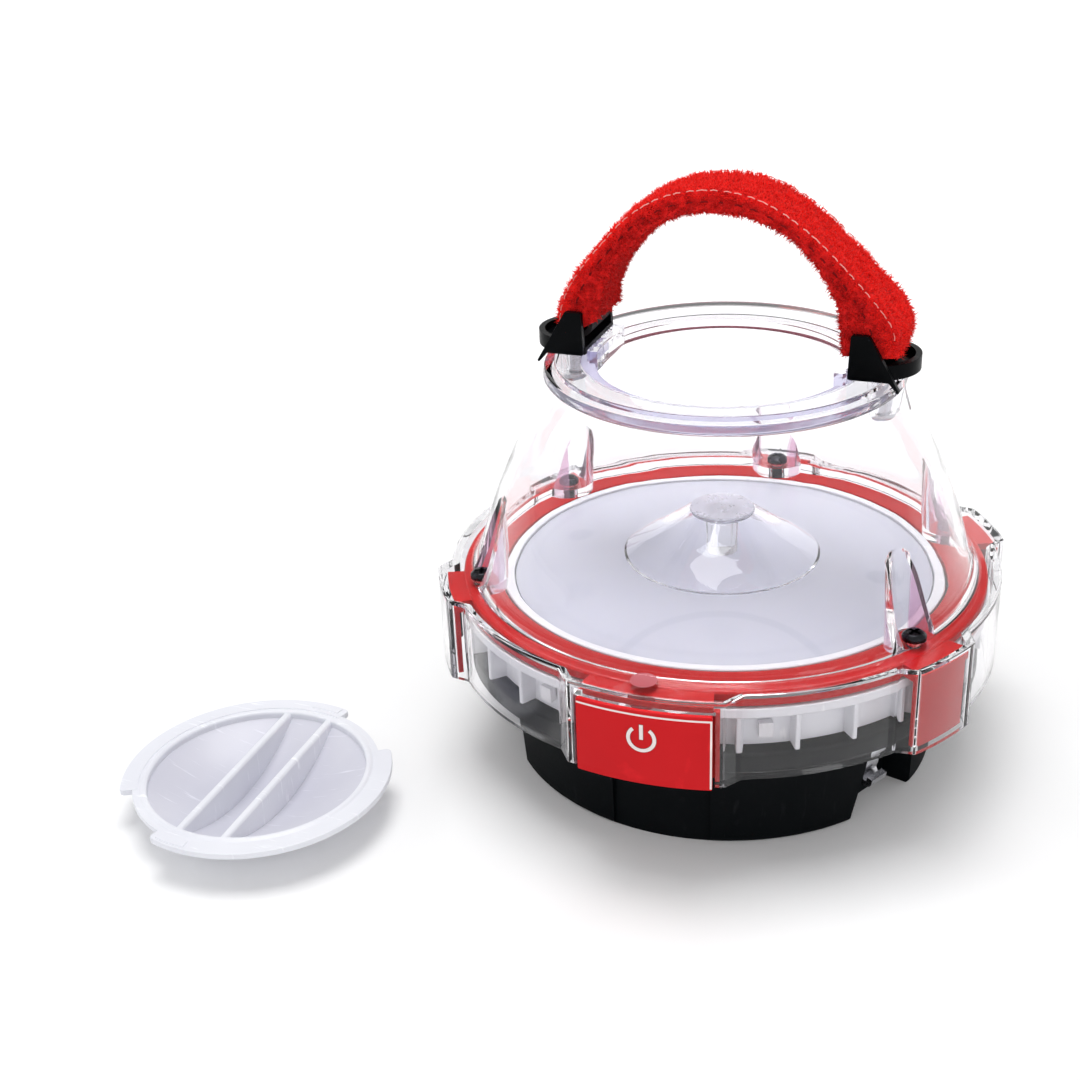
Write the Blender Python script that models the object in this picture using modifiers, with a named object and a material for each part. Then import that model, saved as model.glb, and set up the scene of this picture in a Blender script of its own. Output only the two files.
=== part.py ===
"""A battery LED safety flare: a clear lantern housing on a black base, with a
padded strap handle and a white reflector cap that lies beside it.

The front, with the power button, faces -Y and the handle spans X. An azimuth
is measured round the lantern's axis from the front, positive towards +X.
All named sizes are in millimetres.
"""
import math

import bpy
import bmesh
from mathutils import Matrix, Vector

MM = 0.001

# ---------------------------------------------------------------- places
LANTERN_X, LANTERN_Y = 32.0, 17.6     # the lantern's axis on the table
CAP_X, CAP_Y = -67.9, -56.9           # the reflector cap's axis on the table

# ---------------------------------------------------------------- clear housing
SKIRT_R = 70.0            # outside of the windows
LOBE_R = 73.3             # outside of the six lobes
WALL = 2.1
SKIRT_BOTTOM, FLANGE_UNDER, FLANGE_TOP = 28.4, 48.9, 50.8
FRONT_AZ = 1.1            # the button's lobe sits a little off the front
FRONT_LOBE, FRONT_LOBE_FOOT = 14.7, 18.0      # half angles, degrees
SIDE_LOBE, SIDE_LOBE_FOOT = 7.5, 10.4
DOME = [(64.3, 50.8), (61.9, 56.0), (60.1, 61.3), (58.5, 66.2), (56.2, 72.1), (54.0, 77.4),
        (51.6, 82.6), (49.1, 88.0), (46.9, 93.2), (44.5, 100.5)]
DOME_WALL = 2.2
COLLAR_TOP, COLLAR_UNDER, SEAT_Z = 105.0, 100.9, 103.3
COLLAR_R, COLLAR_STEP_R, SEAT_R, OPENING_R = 44.1, 41.4, 35.2, 31.2
POCKET_FLOOR = 51.0
POCKET_R, POCKET_TOP_R = 5.3, 6.6             # the pockets widen upwards
POCKET_WALL_R, POCKET_WALL_TOP_R = 7.1, 8.45

# ---------------------------------------------------------------- screws
SCREW_AZ = (60, 120, 180, -120, -60)
SCREW_CIRCLE_R = 62.5
SCREW_R, SCREW_HEAD_R, HOLE_R = 1.5, 2.9, 1.8

# ---------------------------------------------------------------- base
BASE_R, BASE_FLANGE_R, BASE_TOP = 55.4, 65.8, 32.8
RECESS_R, RECESS_H = 36.5, 12.0
NOTCH_AZ = 62.0
HOOK_R, HOOK_Z = 51.6, 16.6

# ---------------------------------------------------------------- baffle ring
FIN_COUNT, FIN_OUTER_R, FIN_T = 30, 66.4, 1.2
BAFFLE_R, BAFFLE_WALL = 62.4, 1.8

# ---------------------------------------------------------------- handle
CLIP_X = 34.6             # the strap pins' distance from the axis
CLIP_SCREW_X = 38.7
PIN_Z = 111.8
STRAP_HALF = 9.4

# ---------------------------------------------------------------- button
BUTTON_HALF = 12.5        # half angle, degrees
BUTTON_LOW, BUTTON_TOP = 27.6, 47.0

ROUND = 36                # facets of a large turned piece
INNER_ROUND = 24          # and of one inside the lamp

for old in list(bpy.data.objects):
    bpy.data.objects.remove(old, do_unlink=True)

parts = bpy.data.collections.new("led_safety_flare")
cutters = bpy.data.collections.new("cutters")
bpy.context.scene.collection.children.link(parts)
bpy.context.scene.collection.children.link(cutters)


def empty(name, x, y):
    e = bpy.data.objects.new(name, None)
    e.location = (x * MM, y * MM, 0)
    parts.objects.link(e)
    return e


lantern = empty("lantern_axis", LANTERN_X, LANTERN_Y)
cap_axis = empty("cap_axis", CAP_X, CAP_Y)


# ================================================================ materials
def finish(name, colour, roughness, metallic=0.0):
    m = bpy.data.materials.new(name)
    m.use_nodes = True
    b = m.node_tree.nodes["Principled BSDF"]
    b.inputs["Base Color"].default_value = (*colour, 1)
    b.inputs["Roughness"].default_value = roughness
    b.inputs["Metallic"].default_value = metallic
    m.diffuse_color = (*colour, 1)
    return m


def glassy(name, colour, roughness=0.05):
    m = finish(name, colour, roughness)
    b = m.node_tree.nodes["Principled BSDF"]
    b.inputs["Transmission Weight"].default_value = 1.0
    b.inputs["IOR"].default_value = 1.58
    return m


CLEAR = dict(colour=(0.93, 0.94, 0.97))
WHITE = dict(colour=(0.86, 0.86, 0.88), roughness=0.35)
BLACK = dict(colour=(0.015, 0.016, 0.018), roughness=0.45)
RED = dict(colour=(0.72, 0.02, 0.02), roughness=0.4)
STEEL = dict(colour=(0.62, 0.62, 0.64), roughness=0.28, metallic=1.0)
BLACK_STEEL = dict(colour=(0.02, 0.02, 0.022), roughness=0.35, metallic=0.8)


# ================================================================ helpers
def pol(r, az):
    a = math.radians(az)
    return (r * math.sin(a), -r * math.cos(a))


def link(name, mesh, where, parent):
    obj = bpy.data.objects.new(name, mesh)
    where.objects.link(obj)
    obj.parent = parent
    if where is cutters:
        obj.hide_render = True
        obj.display_type = "WIRE"
    return obj


def from_bmesh(name, bm, where=parts, parent=lantern):
    bmesh.ops.recalc_face_normals(bm, faces=bm.faces)
    mesh = bpy.data.meshes.new(name)
    bm.to_mesh(mesh)
    bm.free()
    return link(name, mesh, where, parent)


def turned(name, profile, where=parts, parent=lantern, steps=ROUND, closed=True):
    """A profile of (radius, height) turned about the axis. It runs down its outer side."""
    bm = bmesh.new()
    vs = [bm.verts.new((r * MM, 0, z * MM)) for r, z in profile]
    for a, b in zip(vs, vs[1:]):
        bm.edges.new((a, b))
    if closed:
        bm.edges.new((vs[-1], vs[0]))
    mesh = bpy.data.meshes.new(name)
    bm.to_mesh(mesh)
    bm.free()
    obj = link(name, mesh, where, parent)
    s = obj.modifiers.new("turn", "SCREW")
    s.axis = "Z"
    s.angle = 2 * math.pi
    s.steps = s.render_steps = steps
    s.use_merge_vertices = True
    s.merge_threshold = 0.00001
    s.use_normal_calculate = False
    return obj


def disc(name, r, z0, z1, where=parts, parent=lantern, steps=ROUND):
    return turned(name, [(0, z1), (r, z1), (r, z0), (0, z0)], where, parent, steps, closed=False)


def loft(name, low, high, z0, z1, where=parts, parent=lantern):
    """A solid between two outlines of the same number of points."""
    bm = bmesh.new()
    a = [bm.verts.new((x * MM, y * MM, z0 * MM)) for x, y in low]
    b = [bm.verts.new((x * MM, y * MM, z1 * MM)) for x, y in high]
    n = len(a)
    bm.faces.new(a)
    bm.faces.new(b)
    for i in range(n):
        j = (i + 1) % n
        bm.faces.new((a[i], a[j], b[j]))
        bm.faces.new((a[i], b[j], b[i]))
    return from_bmesh(name, bm, where, parent)


def prism(name, outline, z0, z1, where=parts, parent=lantern):
    """A flat outline raised by extrusion."""
    bm = bmesh.new()
    face = bm.faces.new([bm.verts.new((x * MM, y * MM, z0 * MM)) for x, y in outline])
    top = bmesh.ops.extrude_face_region(bm, geom=[face])
    moved = [g for g in top["geom"] if isinstance(g, bmesh.types.BMVert)]
    bmesh.ops.translate(bm, verts=moved, vec=(0, 0, (z1 - z0) * MM))
    return from_bmesh(name, bm, where, parent)


def sector(r0, r1, az0, az1, step=3.0, count=None):
    """The outline of a ring segment between two azimuths."""
    n = count or max(1, round(abs(az1 - az0) / step))
    out = [pol(r1, az0 + (az1 - az0) * i / n) for i in range(n + 1)]
    back = [pol(r0, az1 + (az0 - az1) * i / n) for i in range(n + 1)]
    return out + back


def box(name, lo, hi, where=parts, parent=lantern):
    bm = bmesh.new()
    bmesh.ops.create_cube(bm, size=1.0)
    size = Vector([(b - a) * MM for a, b in zip(lo, hi)])
    mid = Vector([(a + b) / 2 * MM for a, b in zip(lo, hi)])
    bmesh.ops.scale(bm, vec=size, verts=bm.verts)
    bmesh.ops.translate(bm, vec=mid, verts=bm.verts)
    return from_bmesh(name, bm, where, parent)


def rod(name, r, start, end, where=parts, parent=lantern, segments=16, r_end=None):
    """A cylinder, or a cone with r_end, from one point to another."""
    a, b = Vector(start) * MM, Vector(end) * MM
    bm = bmesh.new()
    bmesh.ops.create_cone(bm, cap_ends=True, segments=segments, radius1=r * MM,
                          radius2=(r_end or r) * MM, depth=(b - a).length)
    turn = Vector((0, 0, 1)).rotation_difference(b - a).to_matrix().to_4x4()
    bmesh.ops.transform(bm, matrix=Matrix.Translation((a + b) / 2) @ turn, verts=bm.verts)
    return from_bmesh(name, bm, where, parent)


def several(name, solids, where=cutters, parent=lantern):
    """Joins objects that don't touch each other into one helper mesh."""
    bm = bmesh.new()
    for obj in solids:
        bm.from_mesh(obj.data)
        bpy.data.objects.remove(obj, do_unlink=True)
    return from_bmesh(name, bm, where, parent)


def boolean(obj, operation, other):
    m = obj.modifiers.new(operation.lower(), "BOOLEAN")
    m.operation = operation
    m.solver = "EXACT"
    m.object = other
    return obj


def cut(obj, *others):
    for other in others:
        boolean(obj, "DIFFERENCE", other)
    return obj


def join(obj, *others):
    for other in others:
        boolean(obj, "UNION", other)
    return obj


def wire(name, points, r, resolution=2, where=parts, parent=lantern):
    """A round wire along a run of points."""
    curve = bpy.data.curves.new(name, "CURVE")
    curve.dimensions = "3D"
    line = curve.splines.new("POLY")
    line.points.add(len(points) - 1)
    for p, co in zip(line.points, points):
        p.co = (co[0] * MM, co[1] * MM, co[2] * MM, 1)
    curve.bevel_depth = r * MM
    curve.bevel_resolution = resolution
    curve.use_fill_caps = True
    obj = bpy.data.objects.new(name, curve)
    where.objects.link(obj)
    obj.parent = parent
    return obj


def sheet_xz(name, outline, y0, y1, where=parts, parent=lantern):
    """An outline in the handle's plane, given as (x, z), raised along Y."""
    bm = bmesh.new()
    face = bm.faces.new([bm.verts.new((x * MM, y0 * MM, z * MM)) for x, z in outline])
    top = bmesh.ops.extrude_face_region(bm, geom=[face])
    moved = [g for g in top["geom"] if isinstance(g, bmesh.types.BMVert)]
    bmesh.ops.translate(bm, verts=moved, vec=(0, (y1 - y0) * MM, 0))
    return from_bmesh(name, bm, where, parent)


def smooth_path(points, per=3):
    """A smooth open curve through the given points."""
    pts = [Vector(p) for p in points]
    out = []
    for i in range(len(pts) - 1):
        p0 = pts[max(i - 1, 0)]
        p1, p2 = pts[i], pts[i + 1]
        p3 = pts[min(i + 2, len(pts) - 1)]
        for k in range(per):
            t = k / per
            out.append(0.5 * ((2 * p1) + (p2 - p0) * t + (2 * p0 - 5 * p1 + 4 * p2 - p3) * t ** 2
                              + (3 * p1 - p0 - 3 * p2 + p3) * t ** 3))
    out.append(pts[-1])
    return out


def thick(points, half):
    """The outline of a strip of even thickness along a path in a plane."""
    left, right = [], []
    for i, p in enumerate(points):
        a = points[max(i - 1, 0)]
        b = points[min(i + 1, len(points) - 1)]
        d = (Vector(b) - Vector(a)).normalized()
        n = Vector((-d.y, d.x))
        left.append(Vector(p) + n * half)
        right.append(Vector(p) - n * half)
    return [tuple(p) for p in left] + [tuple(p) for p in reversed(right)]


def settle(obj):
    """Turns an object with modifiers into a plain mesh that copies can share."""
    graph = bpy.context.evaluated_depsgraph_get()
    mesh = bpy.data.meshes.new_from_object(obj.evaluated_get(graph))
    mesh.name = obj.name
    used = [m.object for m in obj.modifiers if m.type == "BOOLEAN"]
    obj.modifiers.clear()
    obj.data = mesh
    for o in used:
        bpy.data.objects.remove(o, do_unlink=True)
    return obj


def paint(obj, name, **look):
    obj.data.materials.clear()
    obj.data.materials.append(finish(name, **look))
    return obj


def lobed(r, lobe_r, front, front_foot, side, side_foot):
    """The skirt's outline: a circle that steps out at each of the six lobes."""
    pts = []
    centres = (FRONT_AZ, 60, 120, 180, 240, 300)
    for k, c in enumerate(centres):
        a, f = (front, front_foot) if k == 0 else (side, side_foot)
        pts.append(pol(r, c - f))
        n = 6 if k == 0 else 4
        pts += [pol(lobe_r, c - a + 2 * a * i / n) for i in range(n + 1)]
        pts.append(pol(r, c + f))
        start = c + f
        stop = centres[k + 1] - side_foot if k < 5 else 360 + FRONT_AZ - front_foot
        n = 7
        pts += [pol(r, start + (stop - start) * i / n) for i in range(1, n)]
    return pts


# ================================================================ clear housing
outer_path = lobed(SKIRT_R, LOBE_R, FRONT_LOBE, FRONT_LOBE_FOOT, SIDE_LOBE, SIDE_LOBE_FOOT)
inner_path = lobed(SKIRT_R - WALL, LOBE_R - WALL, FRONT_LOBE - 0.5, FRONT_LOBE_FOOT - 0.5,
                   SIDE_LOBE - 0.5, SIDE_LOBE_FOOT - 0.5)

housing = prism("clear_housing", outer_path, SKIRT_BOTTOM, FLANGE_TOP)
dome_outside = turned("dome_outside", [
    (0, COLLAR_TOP), (COLLAR_STEP_R, COLLAR_TOP), (COLLAR_STEP_R, 103.8), (COLLAR_R - 0.5, 103.8),
    (COLLAR_R, 103.3)] + DOME[::-1] + [(64.3, 49.9), (0, 49.9)], cutters, closed=False)
skirt_inside = prism("skirt_inside", inner_path, SKIRT_BOTTOM - 1, FLANGE_UNDER, cutters)
dome_inside = turned("dome_inside", [(0, COLLAR_UNDER), (42.0, COLLAR_UNDER)]
                     + [(r - DOME_WALL, z) for r, z in DOME[-2:0:-1]]
                     + [(62.0, 50.8), (62.0, 48.2), (0, 48.2)], cutters, closed=False)
# what stands inside the dome: the walls of the screw pockets, and the bosses
# that the clip screws come up through, each tied to the dome by a web
pillars = several("pillars", [
    rod(f"w{a}", POCKET_WALL_R, (*pol(SCREW_CIRCLE_R, a), 47.5), (*pol(SCREW_CIRCLE_R, a), 78), cutters,
        segments=20, r_end=POCKET_WALL_TOP_R) for a in SCREW_AZ] + [
    rod(f"boss{s}", 3.6, (s * CLIP_SCREW_X, 0, 94.4), (s * CLIP_SCREW_X, 0, 102), cutters) for s in (-1, 1)])
webs = several("webs", [
    box(f"web{s}", (min(s * 40, s * 46), -0.9, 94.7), (max(s * 40, s * 46), 0.9, 102), cutters)
    for s in (-1, 1)])
cut(dome_inside, pillars, webs)
pockets = several("pockets", [
    rod(f"p{a}", POCKET_R, (*pol(SCREW_CIRCLE_R, a), POCKET_FLOOR), (*pol(SCREW_CIRCLE_R, a), 80),
        cutters, segments=20, r_end=POCKET_TOP_R) for a in SCREW_AZ])
housing_holes = several("housing_holes", [
    rod(f"h{a}", HOLE_R, (*pol(SCREW_CIRCLE_R, a), 47), (*pol(SCREW_CIRCLE_R, a), 53), cutters,
        segments=12) for a in SCREW_AZ] + [
    rod(f"c{s}", HOLE_R, (s * CLIP_SCREW_X, 0, 93), (s * CLIP_SCREW_X, 0, 107), cutters, segments=12)
    for s in (-1, 1)])
# the locating rib at each clip, on the edge of the opening
ribs = several("ribs", [
    box(f"rib{s}", (min(s * 29.0, s * 31.8), -10.5, 101.5), (max(s * 29.0, s * 31.8), 10.5, 106.4), cutters)
    for s in (-1, 1)])
opening = turned("opening", [(0, 108), (SEAT_R, 108), (SEAT_R, SEAT_Z), (OPENING_R, SEAT_Z),
                             (OPENING_R, 98), (0, 98)], cutters, closed=False)
cut(opening, ribs)
button_way = prism("button_way", sector(70.6, 76, FRONT_AZ - 13.0, FRONT_AZ + 13.0), SKIRT_BOTTOM - 1, 47.5,
                   cutters)
join(housing, dome_outside, ribs)
cut(housing, skirt_inside, dome_inside, pockets, housing_holes, opening, button_way)
housing.data.materials.append(glassy("clear_polycarbonate", CLEAR["colour"]))

# ================================================================ red trim ring
red = turned("red_trim_ring", [(66.3, 48.5), (66.7, 48.1), (66.7, 46.2), (56.5, 46.2), (56.5, 48.5)])
tabs = [prism(f"t{a}", sector(64.9, 70.9, a - 6.9, a + 6.9), 46.5, 48.2, cutters) for a in SCREW_AZ]
tabs.append(prism("t0", sector(64.9, 70.5, FRONT_AZ - 12.6, FRONT_AZ + 12.6), 46.5, 48.2, cutters))
panels = [prism(f"q{a}", sector(69.4, 70.6, a - 6.4, a + 6.4), 29.0, 47.3, cutters) for a in SCREW_AZ]
panels.append(prism("q0", sector(69.2, 70.3, FRONT_AZ - 13.5, FRONT_AZ + 13.5), 29.2, 47.1, cutters))
join(red, several("red_tabs", tabs), several("red_panels", panels))
red_holes = several("red_holes", [
    rod(f"r{a}", HOLE_R, (*pol(SCREW_CIRCLE_R, a), 45), (*pol(SCREW_CIRCLE_R, a), 50), cutters,
        segments=12) for a in SCREW_AZ])
stem_way = rod("stem_way", 3.3, (0, -73, 39), (0, -67.6, 39), cutters, segments=20)
cut(red, red_holes, stem_way)
paint(red, "red_plastic", **RED)

# ================================================================ baffle ring
baffle = turned("baffle_ring", [
    (66.8, 45.6), (67.0, 45.4), (67.0, 43.4), (66.6, 43.0), (BAFFLE_R, 43.0), (BAFFLE_R, 33.4),
    (BAFFLE_R - BAFFLE_WALL, 33.4), (BAFFLE_R - BAFFLE_WALL, 34.7), (56.5, 34.7), (56.5, 36.2),
    (BAFFLE_R - BAFFLE_WALL, 36.2), (BAFFLE_R - BAFFLE_WALL, 43.2), (57.5, 43.2), (57.5, 45.6)])
fins = []
for k in range(FIN_COUNT):
    a = 6 + 12 * k
    ux, uy = pol(1, a)
    h = FIN_T / 2
    outline = [(ux * r + s * -uy * h, uy * r + s * ux * h) for r, s in
               ((61.6, -1), (FIN_OUTER_R, -1), (FIN_OUTER_R, 1), (61.6, 1))]
    fins.append(prism(f"f{k}", outline, 33.7, 43.6, cutters))
fin_ring = several("fin_ring", fins)
columns = several("columns", [
    rod(f"k{a}", 3.4, (*pol(SCREW_CIRCLE_R, a), 33.6), (*pol(SCREW_CIRCLE_R, a), 44.6), cutters)
    for a in SCREW_AZ])
join(baffle, fin_ring, columns)
baffle_holes = several("baffle_holes", [
    rod(f"b{a}", HOLE_R, (*pol(SCREW_CIRCLE_R, a), 32), (*pol(SCREW_CIRCLE_R, a), 47), cutters,
        segments=12) for a in SCREW_AZ])
cut(baffle, baffle_holes)
paint(baffle, "white_plastic", **WHITE)

# ================================================================ light engine
bezel = turned("bezel_ring", [
    (55.6, 48.6), (55.9, 48.3), (55.9, 38.7), (53.9, 38.7), (53.9, 45.4), (51.2, 45.4),
    (51.2, 46.1), (53.5, 46.1), (53.5, 48.6)], steps=INNER_ROUND)
paint(bezel, "bezel_white", **WHITE)

diffuser = turned("diffuser_disc", [
    (0, 51.3), (26.0, 51.3), (39.0, 50.1), (53.1, 48.0), (53.1, 46.4), (50.0, 46.4), (38.0, 48.2),
    (26.0, 49.3), (0, 49.3)], closed=False, steps=INNER_ROUND)
paint(diffuser, "frosted_diffuser", colour=(0.80, 0.80, 0.88), roughness=0.45)

lens = turned("cone_lens", [
    (0, 64.2), (8.0, 64.2), (8.2, 63.9), (16.5, 57.6), (25.2, 52.2), (25.2, 51.6), (22.6, 51.6),
    (15.4, 56.2), (7.4, 62.2), (3.2, 62.2), (2.9, 61.6), (2.6, 51.6), (0, 51.6)], closed=False, steps=INNER_ROUND)
lens.data.materials.append(glassy("clear_lens", (0.95, 0.96, 1.0)))

board = disc("led_board", 51.8, 38.7, 40.3, steps=INNER_ROUND)
chips = several("chips", [
    box(f"e{k}", (pol(40, 30 * k + 15)[0] - 1.75, pol(40, 30 * k + 15)[1] - 1.75, 39.8),
        (pol(40, 30 * k + 15)[0] + 1.75, pol(40, 30 * k + 15)[1] + 1.75, 41.2), cutters)
    for k in range(12)])
join(board, chips)
paint(board, "white_circuit_board", colour=(0.75, 0.76, 0.74), roughness=0.5)

star = rod("dome_led", 9.5, (0, 0, 40.6), (0, 0, 42.2), segments=6)
led_dome = turned("led_dome", [(0, 45.4), (1.9, 44.7), (2.8, 43.2), (2.8, 41.8), (0, 41.8)], cutters,
                  closed=False, steps=16)
join(star, led_dome)
paint(star, "emitter", colour=(0.85, 0.78, 0.4), roughness=0.3)

deck = disc("led_deck", 58.3, 36.5, 38.4, steps=INNER_ROUND)
lead_way = rod("lead_way", 3.0, (14, 44, 35), (14, 44, 40), cutters, segments=12)
cut(deck, lead_way)
paint(deck, "deck_white", **WHITE)

for k, a in enumerate((24, 84, 144, -144, -84, -24)):
    x, y = pol(63.7, a)
    led = box(f"flare_led_{k + 1}", (-1.6, -0.9, 36.6), (1.6, 0.9, 40.2))
    led.rotation_euler = (0, 0, math.radians(a))
    led.location = (x * MM, y * MM, 0)
    paint(led, f"red_led_{k + 1}", colour=(0.8, 0.25, 0.2), roughness=0.2)

driver = box("driver_board", (-20, -13, 33.2), (20, 13, 34.8))
driver_chip = several("driver_chips", [box("u1", (-12, -5, 34.4), (-3, 4, 35.9), cutters),
                                       box("u2", (4, -4, 34.4), (13, 5, 36.0), cutters)])
join(driver, driver_chip)
paint(driver, "green_circuit_board", colour=(0.03, 0.22, 0.08), roughness=0.4)

# ================================================================ power button and its switch
plate = prism("power_button", sector(71.6, 73.4, FRONT_AZ - BUTTON_HALF, FRONT_AZ + BUTTON_HALF, 2.5), BUTTON_LOW,
              BUTTON_TOP)
stem = rod("stem", 2.6, (0, -72.2, 39), (0, -68.7, 39), cutters)
join(plate, stem)
paint(plate, "button_red", colour=(0.62, 0.012, 0.02), roughness=0.42)

plunger = rod("switch_plunger", 1.6, (0, -68.4, 39), (0, -66.0, 39), segments=12)
paint(plunger, "plunger_black", **BLACK)
switch = box("tact_switch", (-3, -67.0, 36), (3, -63.8, 42))
switch_bore = rod("switch_bore", 1.9, (0, -68, 39), (0, -65.0, 39), cutters, segments=12)
cut(switch, switch_bore)
paint(switch, "switch_steel", **STEEL)
switch_board = box("switch_board", (-4.6, -63.5, 34.4), (4.6, -62.75, 42.7))
paint(switch_board, "switch_circuit_board", colour=(0.03, 0.22, 0.08), roughness=0.4)

# ================================================================ base
base = turned("base_shell", [
    (65.3, BASE_TOP), (BASE_FLANGE_R, 32.3), (BASE_FLANGE_R, 28.2), (65.3, 27.6), (58.4, 27.6),
    (56.2, 25.4), (55.8, 14.0), (BASE_R, 0.9), (54.6, 0), (RECESS_R, 0), (RECESS_R, RECESS_H),
    (33.9, RECESS_H), (33.9, 14.4), (38.9, 14.4), (38.9, 2.4), (53.0, 2.4), (53.2, 26.6),
    (55.9, 29.6), (55.9, BASE_TOP)])
notch_walls = several("notch_walls", [
    prism(f"nw{s}", sector(45.9, 54.2, s * NOTCH_AZ - 14.6, s * NOTCH_AZ + 14.6), 1.1, 23.4, cutters)
    for s in (-1, 1)])
notches = several("notches", [
    loft(f"n{s}", sector(48.0, 60, s * NOTCH_AZ - 12.4, s * NOTCH_AZ + 12.4, count=8),
         sector(48.0, 60, s * NOTCH_AZ - (12.4 if s < 0 else 6.5), s * NOTCH_AZ + (12.4 if s > 0 else 6.5),
                count=8),
         -1, 21.4, cutters) for s in (-1, 1)])
front_notch = prism("front_notch", sector(54.7, 60, -12.7, 12.7), -1, 24.6, cutters)
base_holes = several("base_holes", [
    rod(f"s{a}", HOLE_R, (*pol(SCREW_CIRCLE_R, a), 26), (*pol(SCREW_CIRCLE_R, a), 34), cutters,
        segments=12) for a in SCREW_AZ])
hx, hy = pol(HOOK_R, NOTCH_AZ)
tx, ty = math.cos(math.radians(NOTCH_AZ)), math.sin(math.radians(NOTCH_AZ))
pin_bore = rod("pin_bore", 1.3, (hx - tx * 9.4, hy - ty * 9.4, HOOK_Z),
               (hx + tx * 12.7, hy + ty * 12.7, HOOK_Z), cutters, segments=12)
join(base, notch_walls)
cut(base, notches, front_notch, base_holes, pin_bore)
paint(base, "base_black", **BLACK)

gasket = turned("base_gasket", [(58.5, 34.3), (58.5, 33.1), (56.7, 33.1), (56.7, 34.3)], steps=INNER_ROUND)
paint(gasket, "seal_rubber", colour=(0.03, 0.03, 0.03), roughness=0.8)

door = turned("battery_door", [
    (33.4, 14.1), (33.4, 11.7), (35.4, 11.7), (35.4, 10.4), (3.4, 10.4), (3.4, 11.9), (HOLE_R, 11.9),
    (HOLE_R, 14.1)], steps=INNER_ROUND)
paint(door, "door_black", **BLACK)

# ================================================================ hang hook
# The hook hangs in the right-hand notch from a pin along the notch's width.
hook_axis = bpy.data.objects.new("hook_axis", None)
hook_axis.location = (hx * MM, hy * MM, HOOK_Z * MM)
hook_axis.rotation_euler = (0, 0, math.radians(NOTCH_AZ))
parts.objects.link(hook_axis)
hook_axis.parent = lantern
# In the pin's own frame X runs along the pin and -Y points outwards.
run = smooth_path([(0.0, 0.0), (0.0, -2.8), (-0.1, -5.2), (0.4, -7.2), (-0.6, -8.9), (-2.3, -8.8),
                   (-2.8, -7.2)], 3)
strip = thick([Vector((p.x, p.y)) for p in run], 0.8)
bm = bmesh.new()
face = bm.faces.new([bm.verts.new((-4.8 * MM, y * MM, z * MM)) for y, z in strip])
top = bmesh.ops.extrude_face_region(bm, geom=[face])
bmesh.ops.translate(bm, verts=[g for g in top["geom"] if isinstance(g, bmesh.types.BMVert)],
                    vec=(5.6 * MM, 0, 0))
hook = from_bmesh("hang_hook", bm, parts, hook_axis)
eye = rod("eye", 2.4, (-4.8, 0, 0), (0.8, 0, 0), cutters, hook_axis)
eye_bore = rod("eye_bore", 1.3, (-6, 0, 0), (6, 0, 0), cutters, hook_axis, segments=12)
join(hook, eye)
cut(hook, eye_bore)
paint(hook, "hook_steel", **STEEL)
hook_pin = rod("hook_pin", 1.0, (-9.1, 0, 0), (12.4, 0, 0), parts, hook_axis, segments=12)
paint(hook_pin, "hook_pin_steel", **STEEL)

# ================================================================ cells and contacts
tray = box("cell_tray", (-32.4, -29.6, 15.0), (32.4, 29.6, 31.6))
tray_inside = box("tray_inside", (-31.2, -28.4, 14), (31.2, 28.4, 30.4), cutters)
cut(tray, tray_inside)
paint(tray, "tray_black", **BLACK)
for k, x in enumerate((-23.1, -7.7, 7.7, 23.1)):
    flip = -1 if k % 2 else 1
    cell = turned(f"battery_cell_{k + 1}", [
        (0, 25.4), (2.7, 25.4), (2.7, 24.3), (6.6, 24.3), (7.15, 23.8), (7.15, -24.4), (6.8, -24.8),
        (0, -24.8)], steps=12, closed=False)
    cell.rotation_euler = (math.radians(-90 * flip), 0, 0)
    cell.location = (x * MM, 0, 22.7 * MM)
    paint(cell, f"cell_can_{k + 1}", colour=(0.1, 0.1, 0.12), roughness=0.3, metallic=0.6)
    coil = []
    turns, per = 2.5, 7
    for i in range(int(turns * per) + 1):
        t = i / (turns * per)
        a = 2 * math.pi * turns * t
        r = 4.6 - 2.4 * t
        coil.append((x + r * math.cos(a), -flip * (27.45 - 2.1 * t), 22.7 + r * math.sin(a)))
    spring = wire(f"cell_spring_{k + 1}", coil, 0.3, 1)
    paint(spring, f"spring_steel_{k + 1}", **STEEL)
for name, y in (("contact_plate_front", -28.15), ("contact_plate_rear", 27.85)):
    contact = box(name, (-29.5, y, 17.2), (29.5, y + 0.3, 28.2))
    paint(contact, name + "_steel", **STEEL)
lead_points = {
    "lead_red": [(6.0, 15.0, 34.0), (9.0, 24.0, 33.9), (12.2, 35.0, 34.4), (13.2, 42.0, 35.0),
                 (13.2, 44.0, 36.4), (13.2, 44.0, 38.2)],
    "lead_black": [(8.5, 15.0, 34.0), (11.6, 24.0, 33.9), (14.4, 35.0, 34.4), (15.4, 42.0, 35.0),
                   (15.4, 44.0, 36.4), (15.4, 44.0, 38.2)]}
for name, pts in lead_points.items():
    lead = wire(name, [tuple(p) for p in smooth_path(pts, 3)], 0.65)
    colour = (0.6, 0.02, 0.02) if name == "lead_red" else (0.02, 0.02, 0.02)
    paint(lead, name + "_jacket", colour=colour, roughness=0.5)

# ================================================================ screws
def pan_screw(name, z_under, length, r_head=SCREW_HEAD_R, r=SCREW_R):
    """A pan head with a cross recess over a plain shank, pointing down."""
    s = turned(name, [(0, z_under + 1.9), (r_head * 0.72, z_under + 1.75), (r_head, z_under + 1.0),
                      (r_head, z_under), (r, z_under), (r, z_under - length), (0, z_under - length)],
               closed=False, steps=12)
    a = box("xa", (-1.7, -0.45, z_under + 0.9), (1.7, 0.45, z_under + 3), cutters)
    b = box("xb", (-0.45, -1.7, z_under + 0.9), (0.45, 1.7, z_under + 3), cutters)
    cut(s, a, b)
    return s


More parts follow.
